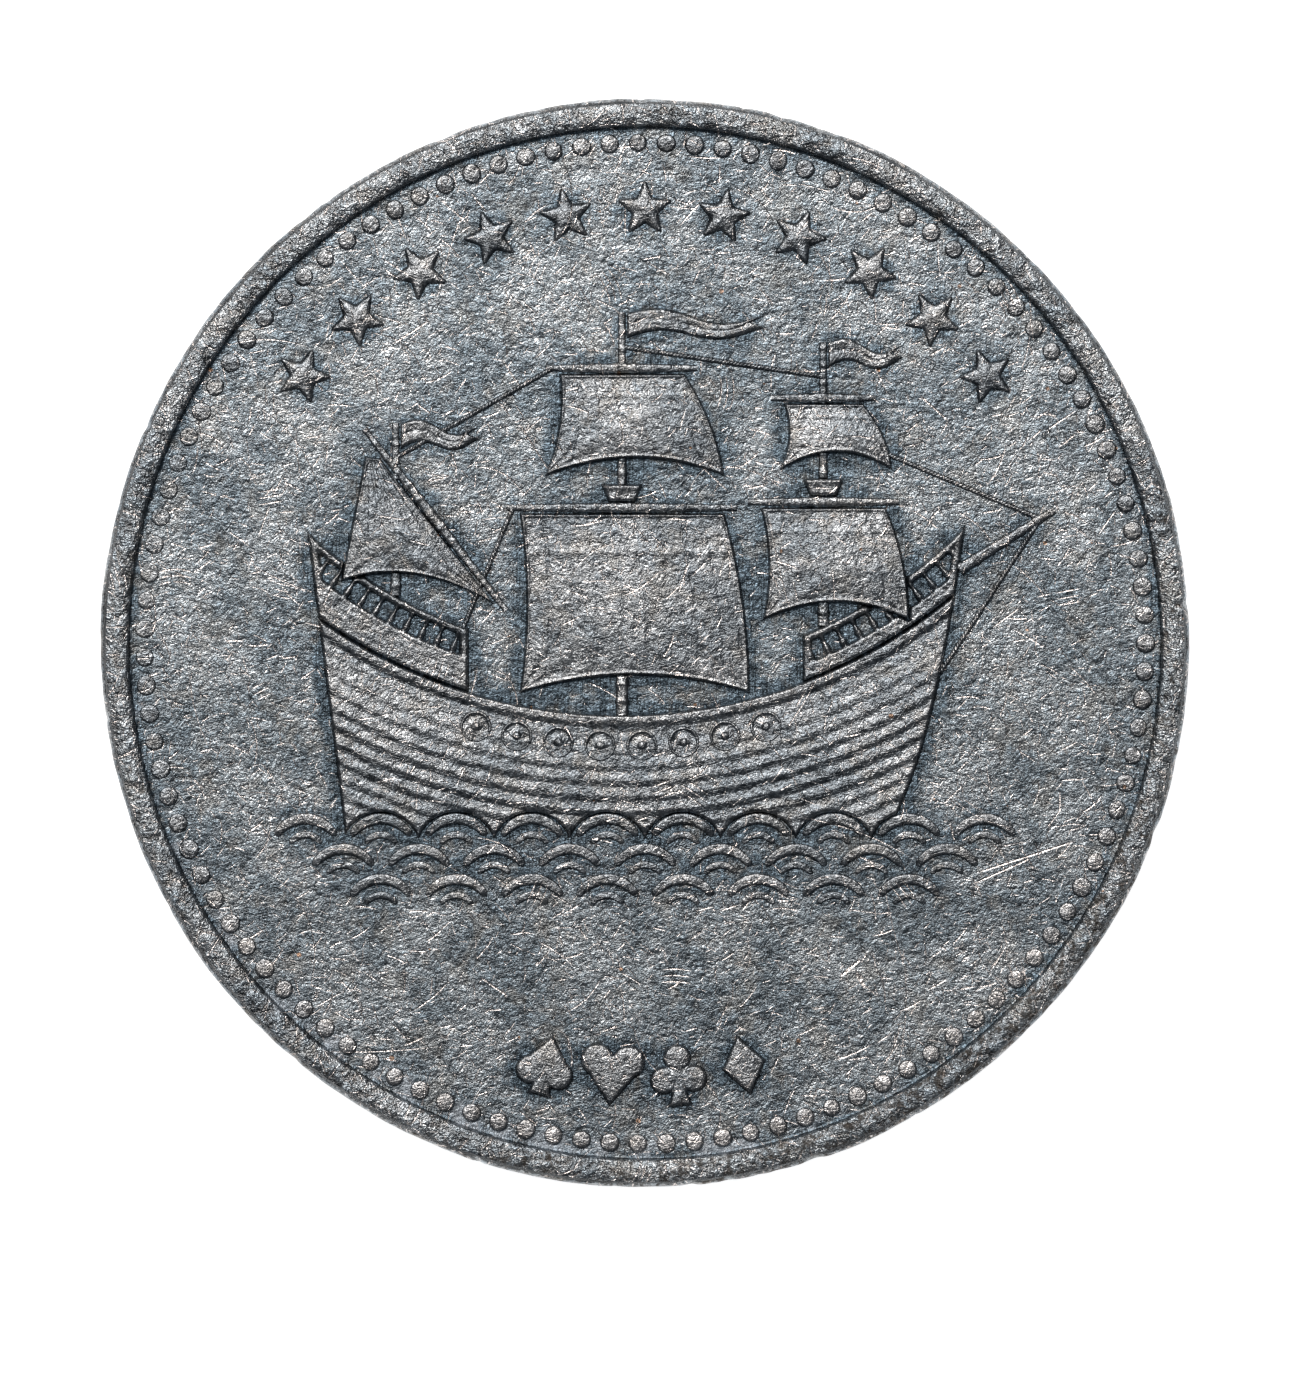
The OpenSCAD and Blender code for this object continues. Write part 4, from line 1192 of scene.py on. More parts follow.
MIZZEN_RUN = np.array((-math.cos(MIZZEN_SLOPE), math.sin(MIZZEN_SLOPE)))
MIZZEN_TACK = np.array((
    MIZZEN_MAST[0] + MIZZEN_YARD_FORE,
    MIZZEN_MAST[1] - MIZZEN_CROSS_DROP - MIZZEN_YARD_FORE * math.tan(MIZZEN_SLOPE),
))
MIZZEN_PEAK = MIZZEN_TACK + MIZZEN_YARD_LEN * MIZZEN_RUN
MIZZEN_CLEW = MIZZEN_PEAK - MIZZEN_LEECH * np.array((math.sin(MIZZEN_LEAN), math.cos(MIZZEN_LEAN)))
MIZZEN_SIDE = YARD_R * np.array((MIZZEN_RUN[1], -MIZZEN_RUN[0]))
MIZZEN_YARD_FOOT = MIZZEN_TACK + MIZZEN_SIDE - YARD_ARM * MIZZEN_RUN
MIZZEN_YARD_HEAD = MIZZEN_PEAK + MIZZEN_SIDE + YARD_ARM * MIZZEN_RUN

SPRIT_ROOT_X = STEM_X + STEM_RAKE / 3
SPRIT_ROOT = np.array((SPRIT_ROOT_X, ring_y(SPRIT_ROOT_X, SHEER_R - BOW_CASTLE_H / 2)))
SPRIT_RUN = (SPRIT_TIP - SPRIT_ROOT) / np.hypot(*(SPRIT_TIP - SPRIT_ROOT))


def square_place(sail, u, v):
    """A place on a square sail: u runs across it, v from its foot to its head."""
    mast_x, foot_y, head_y, foot, head = sail
    half = foot + (head - foot) * v
    x = mast_x + (2 * u - 1) * half + SAIL_LEAN * (1 - v) + SAIL_BELLY / 2 * bump(v)
    y = foot_y + (head_y - foot_y) * v + SAIL_ROACH * bump(u) * (1 - v) ** 2
    return np.stack((x, y), -1)


def mizzen_place(u, v):
    """A place on the mizzen sail: u runs from its loose edge to its yard, v from its foot to its peak."""
    rise = (v * (1 - MIZZEN_BLUNT))[..., None]
    loose = MIZZEN_CLEW + (MIZZEN_PEAK - MIZZEN_CLEW) * rise
    bound = MIZZEN_TACK + (MIZZEN_PEAK - MIZZEN_TACK) * rise
    place = loose + (bound - loose) * u[..., None]
    place[..., 1] += SAIL_ROACH * bump(u) * (1 - v) ** 3
    return place


def sail_loop(place):
    """Outline of a sail, once round."""
    t = np.linspace(0, 1, 25)
    zero = np.zeros(24)
    one = np.ones(24)
    return np.concatenate((
        place(t[:-1], zero), place(one, t[:-1]), place(t[:0:-1], one), place(zero, t[:0:-1]),
    ))


SAIL_PLACES = [lambda u, v, sail=sail: square_place(sail, u, v) for sail in SQUARE_SAILS] + [mizzen_place]
SAIL_LOOPS = [sail_loop(place) for place in SAIL_PLACES]


def sails_depth(x, y):
    return any_of(*[loop_depth(x, y, loop) for loop in SAIL_LOOPS])


def yard_ends():
    """Both ends of each level yard, along the head of a square sail."""
    for mast_x, _, head_y, _, head in SQUARE_SAILS:
        reach = head + YARD_ARM
        y = head_y + YARD_R
        yield (mast_x - reach, y), (mast_x + reach, y)


def mizzen_yard_depth(x, y):
    return bar_depth(x, y, MIZZEN_YARD_FOOT, MIZZEN_YARD_HEAD, 2 * YARD_R)


def yards_depth(x, y):
    bars = [bar_depth(x, y, *ends, 2 * YARD_R) for ends in yard_ends()]
    return any_of(mizzen_yard_depth(x, y), *bars)


def nest_loops():
    """Outlines of the fighting tops, each on the yard of a course."""
    for mast_x, _, head_y, _, _ in (MAIN_COURSE, FORE_COURSE):
        low = head_y + 2 * YARD_R
        yield [(mast_x - NEST_FLOOR_W / 2, low), (mast_x + NEST_FLOOR_W / 2, low),
               (mast_x + NEST_W / 2, low + NEST_TALL), (mast_x - NEST_W / 2, low + NEST_TALL)]


def nests_depth(x, y):
    return any_of(*[loop_depth(x, y, loop) for loop in nest_loops()])


def from_plank_centre(x, y):
    return np.hypot(x - HULL_MID_X, y - SHEER_Y)


def side_depth(x, y):
    """Depth inside the ship's side, from the rail down to the top row of waves."""
    crests = [(i - (CREST_COUNT - 1) / 2) * CREST_PITCH for i in range(CREST_COUNT)]
    waves = [np.hypot(x - crest_x, y - SEA_Y) - CREST_R for crest_x in crests]
    return all_of(loop_depth(x, y, SIDE_LOOP), from_plank_centre(x, y) - SHEER_R, *waves)


def stern_ends(x, y):
    """Depths from the sloping stern and from the front of the stern castle."""
    return -left_of(x, y, STERN_FOOT, STERN_HEAD), STERN_FRONT_X - x


def bow_ends(x, y):
    """Depths from the back of the bow castle and from the raked stem."""
    return x - BOW_BACK_X, left_of(x, y, STEM_KNEE, STEM_HEAD)


def castle_depth(x, y, ends, tall):
    above = SHEER_R - from_plank_centre(x, y)
    return all_of(above, tall - above, *ends(x, y))


def ship_depth(x, y):
    return any_of(
        side_depth(x, y),
        castle_depth(x, y, stern_ends, STERN_CASTLE_H),
        castle_depth(x, y, bow_ends, BOW_CASTLE_H),
    )


# Pieces of the ship


def plank_height(x, y, depth):
    """Clinker planks under a flat rail, each plank proud of the next along its lower edge."""
    down = from_plank_centre(x, y) - SHEER_R - RAIL_W
    number = np.floor(down / PLANK_W)
    share = down / PLANK_W - number
    swell = np.sin(np.pi * np.clip((number + 0.5) / PLANK_COUNT, 0, 1))
    lap = np.where(share < LAP_RISE, share / LAP_RISE, (1 - share) / LAP_FALL)
    planks = HULL_EDGE_H + (HULL_FULL_H - HULL_EDGE_H) * swell + PLANK_LAP * lap
    butt = (x - HULL_MID_X) / PLANK_LEN + PLANK_STAGGER * number
    butt_away = np.abs(butt - np.round(butt)) * PLANK_LEN
    planks = planks - BUTT_DEPTH * groove(butt_away, BUTT_W)
    rail = HULL_FULL_H + RAIL_PROUD - RAIL_LINE_DEPTH * groove(down + RAIL_W / 2, RAIL_LINE_W)
    return np.where(down < 0, rail, planks)


def castle_work_depth(x, y, ends, tall):
    """Depth inside a castle's cap rail, wall, posts and vase-shaped balusters."""
    above = SHEER_R - from_plank_centre(x, y)
    wall_top = tall - CAP_W - BALUSTER_GAP
    turn = np.arctan2(x - HULL_MID_X, SHEER_Y - y) * SHEER_R
    off = np.abs(turn - np.round(turn / BALUSTER_PITCH) * BALUSTER_PITCH)
    vase = 1 + BALUSTER_SWELL * np.sin(2 * np.pi * (above - wall_top) / BALUSTER_GAP)
    near_end, far_end = ends(x, y)
    work = any_of(
        above - (tall - CAP_W),
        wall_top - above,
        BALUSTER_W / 2 * vase - off,
        POST_W - near_end,
        POST_W - far_end,
    )
    return all_of(work, castle_depth(x, y, ends, tall), -sails_depth(x, y), -mizzen_yard_depth(x, y))


def castle_height(tall):
    """How high a castle stands: its boarded wall, its balusters and its cap rail."""
    def height(x, y, depth):
        above = SHEER_R - from_plank_centre(x, y)
        wall_top = tall - CAP_W - BALUSTER_GAP
        board = above / BOARD_W
        seam_away = (board - np.round(board)) * BOARD_W
        boards = CASTLE_H - BOARD_SET_BACK - BOARD_LINE_DEPTH * groove(seam_away, BOARD_LINE_W)
        middle = np.where(above < wall_top, boards, CASTLE_H - BALUSTER_SET_BACK)
        return np.where(above > tall - CAP_W, CASTLE_H + CAP_PROUD, middle)
    return height


def nest_height(x, y, depth):
    """A fighting top's ribbed sides under a plain rail."""
    level = np.zeros(np.shape(x))
    for mast_x, _, head_y, _, _ in (MAIN_COURSE, FORE_COURSE):
        near = np.abs(x - mast_x) < NEST_W
        up = (y - head_y - 2 * YARD_R) / NEST_TALL
        rib = (x - mast_x) / (NEST_RIB_PITCH * (1 - NEST_FLARE + NEST_FLARE * up))
        ribs = NEST_H - NEST_SET_BACK + NEST_RIB_H * groove(rib - np.round(rib), NEST_RIB_W)
        level = np.where(near, np.where(up > NEST_RAIL_FROM, NEST_H, ribs), level)
    return level


def crowded(count, edge_share):
    """Places from 0 to 1 that crowd towards both ends, where the cloth's edge turns down."""
    t = np.linspace(0, 1, count)
    return t - edge_share * np.sin(2 * np.pi * t) / (2 * np.pi)


def sail_solid(place, across, tall, seed):
    """A sail that bellies out, with seams, corner creases, a reef band and a rope round its edge."""
    cols = int(across / SAIL_CELL)
    rows = int(tall / SAIL_CELL)
    u, v = np.meshgrid(crowded(cols, SAIL_CROWDING), crowded(rows, SAIL_CROWDING))
    at = place(u, v)
    left, right, low, high = (
        np.hypot(*np.moveaxis(at - edge, -1, 0)) for edge in (at[:, :1], at[:, -1:], at[:1], at[-1:])
    )
    depth = np.minimum.reduce([left, right, low, high])
    swell = np.sqrt(bump(u)) * np.sin(np.pi * (0.22 + 0.78 * v ** 0.8))
    level = SAIL_EDGE_H + (SAIL_FULL_H - SAIL_EDGE_H) * np.clip(swell, 0, 1)
    cloths = max(2, round(across / CLOTH_W))
    seam = u * cloths
    away = np.abs(seam - np.round(seam)) / cloths * (left + right)
    inner = np.clip(depth / (2 * BOLT_ROPE_W), 0, 1)
    level = level - SEAM_DEPTH * groove(away, SEAM_W) * inner
    for corner, lean in ((left, 1.0), (right, -1.0)):
        fan = np.arctan2(low, corner + 1e-6)
        reach = np.hypot(low, corner)
        fade = np.exp(-reach / (CREASE_REACH * across))
        level = level + CREASE_H * np.sin(CREASE_COUNT * fan + seed + lean) * fade * inner
    band = groove(v - REEF_BAND_AT, REEF_BAND_W) * inner
    level = level + REEF_BAND_H * band
    level = level + BOLT_ROPE_H * groove(depth - BOLT_ROPE_INSET, BOLT_ROPE_R)
    level = level * worn_wall(depth + SAIL_LIP)
    return sheet(at, level)


def pennant_solid(mast):
    """A streaming pennant that waves, narrows and ends in two tails."""
    mast_x, truck_y, length = mast
    along = np.linspace(0, 1, int(length / CELL))
    t, side = np.meshgrid(along, crowded(PENNANT_ROWS, PENNANT_CROWDING) * 2 - 1)
    half = PENNANT_W / 2 * (1 - t / 2)
    wave = PENNANT_TURN * t
    notch = PENNANT_NOTCH * t ** 6 * (1 - np.abs(side))
    x = mast_x + MAST_HEAD_R + PENNANT_GAP + t * length - notch
    y = truck_y - PENNANT_W / 2 + side * half + PENNANT_WAVE * np.sin(wave)
    depth = np.minimum.reduce([(1 - np.abs(side)) * half, t * length + CELL, (1 - t) * length + CELL])
    level = PENNANT_H * (1 - PENNANT_DIP + PENNANT_DIP * np.cos(wave))
    level = level + PENNANT_FOLD_H * np.cos(3 * wave + side)
    level = level - PENNANT_SEAM_DEPTH * groove(side, PENNANT_SEAM_W) * (t > PENNANT_SEAM_FROM)
    return sheet(np.stack((x, y), -1), level * worn_wall(depth))


def visible_runs(p, q, girths, hidden):
    """The stretches of a straight spar that nothing hides, with its girth and its rope bands."""
    length = math.hypot(q[0] - p[0], q[1] - p[1])
    t = np.linspace(0, 1, max(8, int(length / CELL)))
    x = p[0] + (q[0] - p[0]) * t
    y = p[1] + (q[1] - p[1]) * t
    band = t * length / BAND_PITCH
    swell = 1 + BAND_SWELL * groove((band - np.round(band)) * BAND_PITCH, BAND_W)
    girth = girths(t) * swell
    seen = hidden(x, y) < SPAR_LAP
    start = None
    for k in range(len(t) + 1):
        if k < len(t) and seen[k]:
            start = k if start is None else start
        elif start is not None:
            if k - start > 3:
                yield list(zip(x[start:k], y[start:k])), girth[start:k].tolist(), False
            start = None


def mast_girth(t):
    """Girth along a mast, thinner towards its head."""
    return MAST_R + (MAST_HEAD_R - MAST_R) * t


def mast_runs():
    def hidden(x, y):
        yards = yards_depth(x, y) - YARD_LAP
        return any_of(ship_depth(x, y), sails_depth(x, y), yards, nests_depth(x, y))
    for mast_x, truck_y, _ in (MAIN_MAST, FORE_MAST, MIZZEN_MAST):
        foot_y = ring_y(mast_x, SHEER_R + HULL_SIDE / 2)
        ends = ((mast_x, foot_y), (mast_x, truck_y))
        yield from visible_runs(*ends, lambda t: mast_girth(t) * MAST_WEAR, hidden)


def spindle(t):
    """Girth along a yard, thick in the middle and thin at its ends."""
    return YARD_END_R + (YARD_R - YARD_END_R) * (1 - np.abs(2 * t - 1))


def nowhere(x, y):
    """A depth that hides nothing."""
    return np.full(len(x), -1.0)


def yard_runs():
    for ends in yard_ends():
        yield from visible_runs(*ends, spindle, nowhere)
    yield from visible_runs(MIZZEN_YARD_FOOT, MIZZEN_YARD_HEAD, spindle, sails_depth)


def sprit_runs():
    yield from visible_runs(SPRIT_ROOT, SPRIT_TIP, mast_girth, ship_depth)


def rope_runs():
    """The stays and braces. They are low, so what they pass behind hides them."""
    def hounds(mast):
        return (mast[0], mast[1] - PENNANT_W - STAY_DROP)
    castle_x = STERN_FRONT_X - POST_W / 2
    sprit_end = SPRIT_TIP - STAY_BACK * SPRIT_RUN
    behind_topsail = square_place(FORE_TOPSAIL, np.array(0.5), np.array(0.5))
    ropes = (
        (hounds(MAIN_MAST), hounds(FORE_MAST)),
        (behind_topsail, sprit_end),
        ((MAIN_TOPSAIL[0] - MAIN_TOPSAIL[4] - YARD_ARM / 2, MAIN_TOPSAIL[2] + YARD_R), hounds(MIZZEN_MAST)),
        ((MAIN_COURSE[0] - MAIN_COURSE[4] - YARD_ARM / 2, MAIN_COURSE[2] + YARD_R),
         (castle_x, ring_y(castle_x, SHEER_R - STERN_CASTLE_H))),
        (sprit_end, STEM_CURVE[18]),
    )
    for p, q in ropes:
        yield [tuple(p), tuple(q)], [ROPE_W / 2, ROPE_W / 2], False


# Suit signs, each upright in a box as tall as the sign


def stem_depth(x, y):
    s = SUIT_SIZE
    return loop_depth(x, y, [(-s / 5, -s / 2), (s / 5, -s / 2), (s / 20, 0), (-s / 20, 0)])


def spade_depth(x, y):
    s = SUIT_SIZE
    lobe = 0.24 * s
    side = 0.94 * lobe
    low = -0.12 * s
    shoulder = low + lobe / 4
    leaf = loop_depth(x, y, [(-2 * side, shoulder), (0, low - lobe / 2), (2 * side, shoulder), (0, s / 2)])
    lobes = [disc_depth(x, y, (middle, low), lobe) for middle in (-side, side)]
    return any_of(leaf, stem_depth(x, y), *lobes)


def heart_depth(x, y):
    s = SUIT_SIZE
    lobe = 0.27 * s
    side = 0.92 * lobe
    shoulder = s / 2 - 1.3 * lobe
    cleft = s / 2 - 0.6 * lobe
    body = loop_depth(x, y, [(-2 * side, shoulder), (0, -s / 2), (2 * side, shoulder), (0, cleft)])
    lobes = [disc_depth(x, y, (middle, s / 2 - lobe), lobe) for middle in (-side, side)]
    return any_of(body, *lobes)


def club_depth(x, y):
    s = SUIT_SIZE
    lobe = 0.225 * s
    centres = [(0, s / 2 - lobe), (-1.05 * lobe, -0.3 * lobe), (1.05 * lobe, -0.3 * lobe)]
    lobes = [disc_depth(x, y, centre, lobe) for centre in centres]
    return any_of(loop_depth(x, y, centres), stem_depth(x, y), *lobes)


def diamond_depth(x, y):
    half = 0.36 * SUIT_SIZE
    tall = SUIT_SIZE / 2
    return loop_depth(x, y, [(0, tall), (half, 0), (0, -tall), (-half, 0)])


def sign_height(x, y, depth):
    """A low crown that is highest along the middle of each sign."""
    return SUIT_H * (1 - SUIT_CROWN + SUIT_CROWN * np.clip(depth / SUIT_CROWN_W, 0, 1))


def suit_solids():
    reach = SUIT_SIZE * 0.6
    for i, depth in enumerate((spade_depth, heart_depth, club_depth, diamond_depth)):
        points, faces = relief((-reach, -reach, reach, reach), depth, sign_height)
        turn = (i - 1.5) * SUIT_STEP
        x = points[:, 0].copy()
        y = points[:, 1] - SUIT_RING_R
        points[:, 0] = x * math.cos(turn) - y * math.sin(turn)
        points[:, 1] = x * math.sin(turn) + y * math.cos(turn)
        yield points, faces


# Faceted stars


def faceted_star(tips, waist, high, wall, blunt, cell=CELL):
    """A star whose facets fall from its middle to blunt points and waists, its first point along X."""
    tips = [tip - TIP_BLUNTING * blunt for tip in tips]
    waist = waist - WAIST_BLUNTING * blunt
    step = math.pi / len(tips)
    loop = []
    for i, tip in enumerate(tips):
        loop.append((tip * math.cos(2 * i * step), tip * math.sin(2 * i * step)))
        loop.append((waist * math.cos((2 * i + 1) * step), waist * math.sin((2 * i + 1) * step)))

    def depth(x, y):
        return loop_depth(x, y, loop) + blunt

    def height(x, y, inside):
        share = np.zeros(np.shape(x))
        angle = np.mod(np.arctan2(y, x), 2 * math.pi)
        for k in range(len(loop)):
            (ax, ay), (bx, by) = loop[k], loop[(k + 1) % len(loop)]
            area = ax * by - ay * bx
            gauge = (x * by - y * bx + ax * y - ay * x) / area
            share = np.where(np.floor(angle / step) == k, gauge, share)
        return high + (wall - high) * np.clip(share, 0, 1)

    reach = max(tips) + blunt
    return relief((-reach, -reach, reach, reach), depth, height, cell)


# Blank

# The worn rim of the obverse, as distances outside the field and heights above it, then its outer corner
RIM_SECTION = (
    (-0.04, 0.0), (0.018, 0.0), (0.028, 0.02), (0.038, 0.09), (0.048, 0.15), (0.065, 0.183),
    (0.105, 0.205), (0.18, 0.223), (0.26, 0.234), (0.34, 0.24), (0.42, 0.237), (0.5, 0.226),
    (0.575, 0.207),
)
EDGE_SECTION = ((0.635, 0.18), (0.673, 0.147), (0.7, 0.1), (0.714, 0.035), (0.72, -0.05))

# The rim of the reverse, as distances outside the field and heights above the table
REVERSE_RIM_SECTION = ((0.125, 0.008), (0.06, 0.08), (0.0, 0.235), (-0.05, 0.24))
REVERSE_RIM_FLAT = (TOKEN_R - 0.3, FIELD_R + 0.22)
EDGE_STEPS = 5
RIM_SEGMENTS = 900
FIELD_SPACING = 0.11
REVERSE_SPACING = 0.2
BLANK_SEED = 7

# Waves of the fields and of the edge: how many, and their least and greatest length
FIELD_WAVES = (14, 1.2, 6.0)
EDGE_WAVES = (16, 0.05, 0.9)
RIM_WAVE_TURNS = 13
RIM_WAVE_SPREAD = 4

# Knocks: how many on the rim, on the edge and underneath, and the ranges of their widths and depths
TOP_KNOCKS = 170
SIDE_KNOCKS = 60
UNDER_KNOCKS = 60
KNOCK_WIDTHS = (0.05, 0.22)
KNOCK_DEPTHS = (0.3, 1.0)

# How uneven the fields, the rim and the edge are, and how deep knocks go
FIELD_UNEVEN = 0.004
RIM_UNEVEN = 0.008
RIM_KNOCK = 0.022
RIM_SLANT = 0.03
UNDER_KNOCK = 0.03
EDGE_UNEVEN = 0.012
EDGE_WORN = 0.01
EDGE_KNOCK = 0.045
EDGE_SLANT = 0.02

# Where the finish of the edge lies in its own pattern, clear of the faces
EDGE_SKIN_X = 40.0
EDGE_SKIN_Z = 5.0

# Stains of the blank: directions of the dirtiest sides, and shares on each part. The low shares of the
# tarnish are painted shade that darkens the lower side.
LOW_RIGHT = (0.6, 0.8)
LOW_LEFT = (0.4, 0.92)
GRIME_LEAST = 0.35
FILM_RING = 0.15
FILM_W = 0.5
FILM_LEAST = 0.15
RIM_TARNISH = 0.22
RIM_LOW_SHADE = 0.2
FIELD_LOW_SHADE = 0.42
EDGE_TARNISH = 0.45


def waves_of(rng, count, low, high):
    """Slow waves in all directions, as lengths, directions and starts."""
    length = np.exp(rng.uniform(math.log(low), math.log(high), count))
    way = rng.uniform(0, 2 * math.pi, count)
    start = rng.uniform(0, 2 * math.pi, count)
    return length, way, start


def uneven_ground(x, y, waves):
    total = np.zeros(np.shape(x))
    for length, way, start in zip(*waves):
        total += np.sin(2 * math.pi * (x * math.cos(way) + y * math.sin(way)) / length + start)
    return total / math.sqrt(len(waves[0]))


def blank_rings():
    """Radius, height, point count and part of each ring, from the obverse over the edge to the reverse."""
    rings = []
    field = np.arange(FIELD_SPACING, FIELD_R - 0.06, FIELD_SPACING)
    for r in field:
        rings.append((r, OBVERSE_Z, max(10, int(2 * math.pi * r / FIELD_SPACING)), "obverse"))
    for r, h in RIM_SECTION:
        rings.append((FIELD_R + r, OBVERSE_Z + h, RIM_SEGMENTS, "rim"))
    for r, h in EDGE_SECTION:
        rings.append((FIELD_R + r, OBVERSE_Z + h, RIM_SEGMENTS, "edge"))
    for z in np.linspace(TOKEN_T - EDGE_R, EDGE_R, 8)[1:-1]:
        rings.append((TOKEN_R, z, RIM_SEGMENTS, "edge"))
    for k in range(EDGE_STEPS + 1):
        a = math.pi / 2 * (1 - k / EDGE_STEPS)
        r = TOKEN_R - EDGE_R * (1 - math.sin(a))
        rings.append((r, EDGE_R * (1 - math.cos(a)), RIM_SEGMENTS, "edge"))
    for r in REVERSE_RIM_FLAT:
        rings.append((r, 0.0, RIM_SEGMENTS, "rim"))
    for r, h in REVERSE_RIM_SECTION:
        rings.append((FIELD_R + r, h, RIM_SEGMENTS // 2, "rim"))
    for r in np.arange(FIELD_R - 0.2, REVERSE_SPACING, -REVERSE_SPACING):
        rings.append((r, REVERSE_Z, max(10, int(2 * math.pi * r / REVERSE_SPACING)), "reverse"))
    return rings


def stitch(inner, outer):
    """Triangles between two rings of point numbers."""
    faces = []
    i = 0
    j = 0
    while i < len(inner) or j < len(outer):
        a = inner[i % len(inner)]
        b = outer[j % len(outer)]
        if j == len(outer) or (i < len(inner) and (i + 1) / len(inner) <= (j + 1) / len(outer)):
            i += 1
            faces.append((a, b, inner[i % len(inner)]))
        else:
            j += 1
            faces.append((a, b, outer[j % len(outer)]))
    return faces


def rim_knocks(rng, count):
    """Places round the rim, widths and depths of the knocks it has taken."""
    places = rng.uniform(-math.pi, math.pi, count)
    widths = rng.uniform(*KNOCK_WIDTHS, count)
    depths = rng.uniform(*KNOCK_DEPTHS, count) ** 2
    return places, widths, depths


def knocked(angle, knocks):
    """How deep the knocks are at an angle, at most about 1."""
    total = np.zeros(np.shape(angle))
    for place, width, deep in zip(*knocks):
        off = np.mod(angle - place + math.pi, 2 * math.pi) - math.pi
        total = np.maximum(total, deep * groove(off * TOKEN_R, width))
    return total


def blank_solid():
    """The struck disc, with a dented rim, a nicked edge and fields that are not quite flat."""
    rng = np.random.default_rng(BLANK_SEED)
    ground = waves_of(rng, *FIELD_WAVES)
    outline = waves_of(rng, *EDGE_WAVES)
    top_knocks = rim_knocks(rng, TOP_KNOCKS)
    side_knocks = rim_knocks(rng, SIDE_KNOCKS)
    under_knocks = rim_knocks(rng, UNDER_KNOCKS)
    points = [(0.0, 0.0, OBVERSE_Z)]
    skins = [(0.0, 0.0, 0.0)]
    rings = []
    for r, z, count, part in blank_rings():
        angle = np.arange(count) * 2 * math.pi / count
        wide = np.full(count, r)
        high = np.full(count, z)
        if part in ("obverse", "reverse"):
            high = high + FIELD_UNEVEN * uneven_ground(r * np.cos(angle), r * np.sin(angle), ground)
        if part == "rim" and z > TOKEN_T / 2:
            share = np.clip((z - OBVERSE_Z) / RIM_H, 0, 1) ** 2
            high = high - share * RIM_KNOCK * knocked(angle + RIM_SLANT * r, top_knocks)
            waves = uneven_ground(RIM_WAVE_TURNS * angle, RIM_WAVE_SPREAD * r, ground)
            high = high + share * RIM_UNEVEN * (waves - 1.0)
        if part == "rim" and z < TOKEN_T / 2:
            share = np.clip((REVERSE_Z - z) / RIM_H, 0, 1) ** 2
            high = high + share * UNDER_KNOCK * knocked(angle, under_knocks)
        if part == "edge":
            wave = EDGE_UNEVEN * uneven_ground(angle, EDGE_SLANT * z, outline) - EDGE_WORN
            dents = EDGE_KNOCK * knocked(angle + EDGE_SLANT * z, side_knocks)
            wide = wide + np.minimum(wave, EDGE_UNEVEN) - dents
            upper = np.clip((z - TOKEN_T + 2 * EDGE_R) / (2 * EDGE_R), 0, 1)
            high = high - RIM_KNOCK * upper * knocked(angle + RIM_SLANT * r, top_knocks)
        number = len(points)
        rings.append(list(range(number, number + count)))
        x = wide * np.cos(angle)
        y = wide * np.sin(angle)
        points.extend(zip(x, y, high))
        if part == "edge":
            signed = np.mod(angle + math.pi, 2 * math.pi) - math.pi
            skins.extend(zip(TOKEN_R * np.abs(signed) + EDGE_SKIN_X, high, np.full(count, EDGE_SKIN_Z)))
        else:
            skins.extend(zip(x, y, np.full(count, 0.0)))
    points.append((0.0, 0.0, REVERSE_Z))
    skins.append((0.0, 0.0, 0.0))
    last = len(points) - 1
    first_ring = rings[0]
    faces = [(0, a, b) for a, b in zip(first_ring, first_ring[1:] + first_ring[:1])]
    for inner, outer in zip(rings, rings[1:]):
        faces.extend(stitch(inner, outer))
    end_ring = rings[-1]
    faces.extend((a, last, b) for a, b in zip(end_ring, end_ring[1:] + end_ring[:1]))
    return points, faces, skins


def make_blank():
    """The blank with its own skin for the finish and its stains, and painted shade that darkens its lower
    side.
    """
    points, faces, skins = blank_solid()
    piece = solid("struck_blank", np.array(points) * MM, faces)
    layer = piece.data.attributes.new("skin", "FLOAT_VECTOR", "POINT")
    layer.data.foreach_set("vector", np.array(skins, float).ravel())
    x, y = np.array(points).T[:2]
    r = np.hypot(x, y)
    on_rim = np.clip((r - FIELD_R) / RIM_SLOPE, 0, 1)
    on_edge = np.clip((r - TOKEN_R + EDGE_R) / EDGE_R, 0, 1)
    low_side = np.clip(0.5 - y / TOKEN_R, 0, 1)
    low_right = np.clip((x * LOW_RIGHT[0] - y * LOW_RIGHT[1]) / TOKEN_R, 0, 1)
    low_left = np.clip((-x * LOW_LEFT[0] - y * LOW_LEFT[1]) / TOKEN_R, 0, 1)
    # The low side of the field and the rim is darkened here as painted shade, on top of the even tarnish of
    # the rim and edge.
    rim_tarnish_and_shade = on_rim * (RIM_TARNISH + RIM_LOW_SHADE * low_side)
    field_low_shade = (1 - on_rim) * FIELD_LOW_SHADE * low_side
    film_ring = groove(r - BEAD_RING_R - FILM_RING, FILM_W)
    stains = {
        "grime": on_rim * (GRIME_LEAST + (1 - GRIME_LEAST) * low_right),
        "film": film_ring * (FILM_LEAST + (1 - FILM_LEAST) * low_left),
        "batter": on_rim,
        "tarnish_shade": rim_tarnish_and_shade + field_low_shade + EDGE_TARNISH * on_edge,
    }
    for label, amount in stains.items():
        store(piece.data, label, amount)
    piece.data.materials.append(BLANK_METAL)
    return piece


# Pieces


def carved(name, parts, face, share):
    """A relief piece from one or more closed parts."""
    piece = solid(name, *joined(parts))
    thin_out(piece, share)
    piece.data.materials.append(RELIEF_METAL)
    return settle(piece, face)


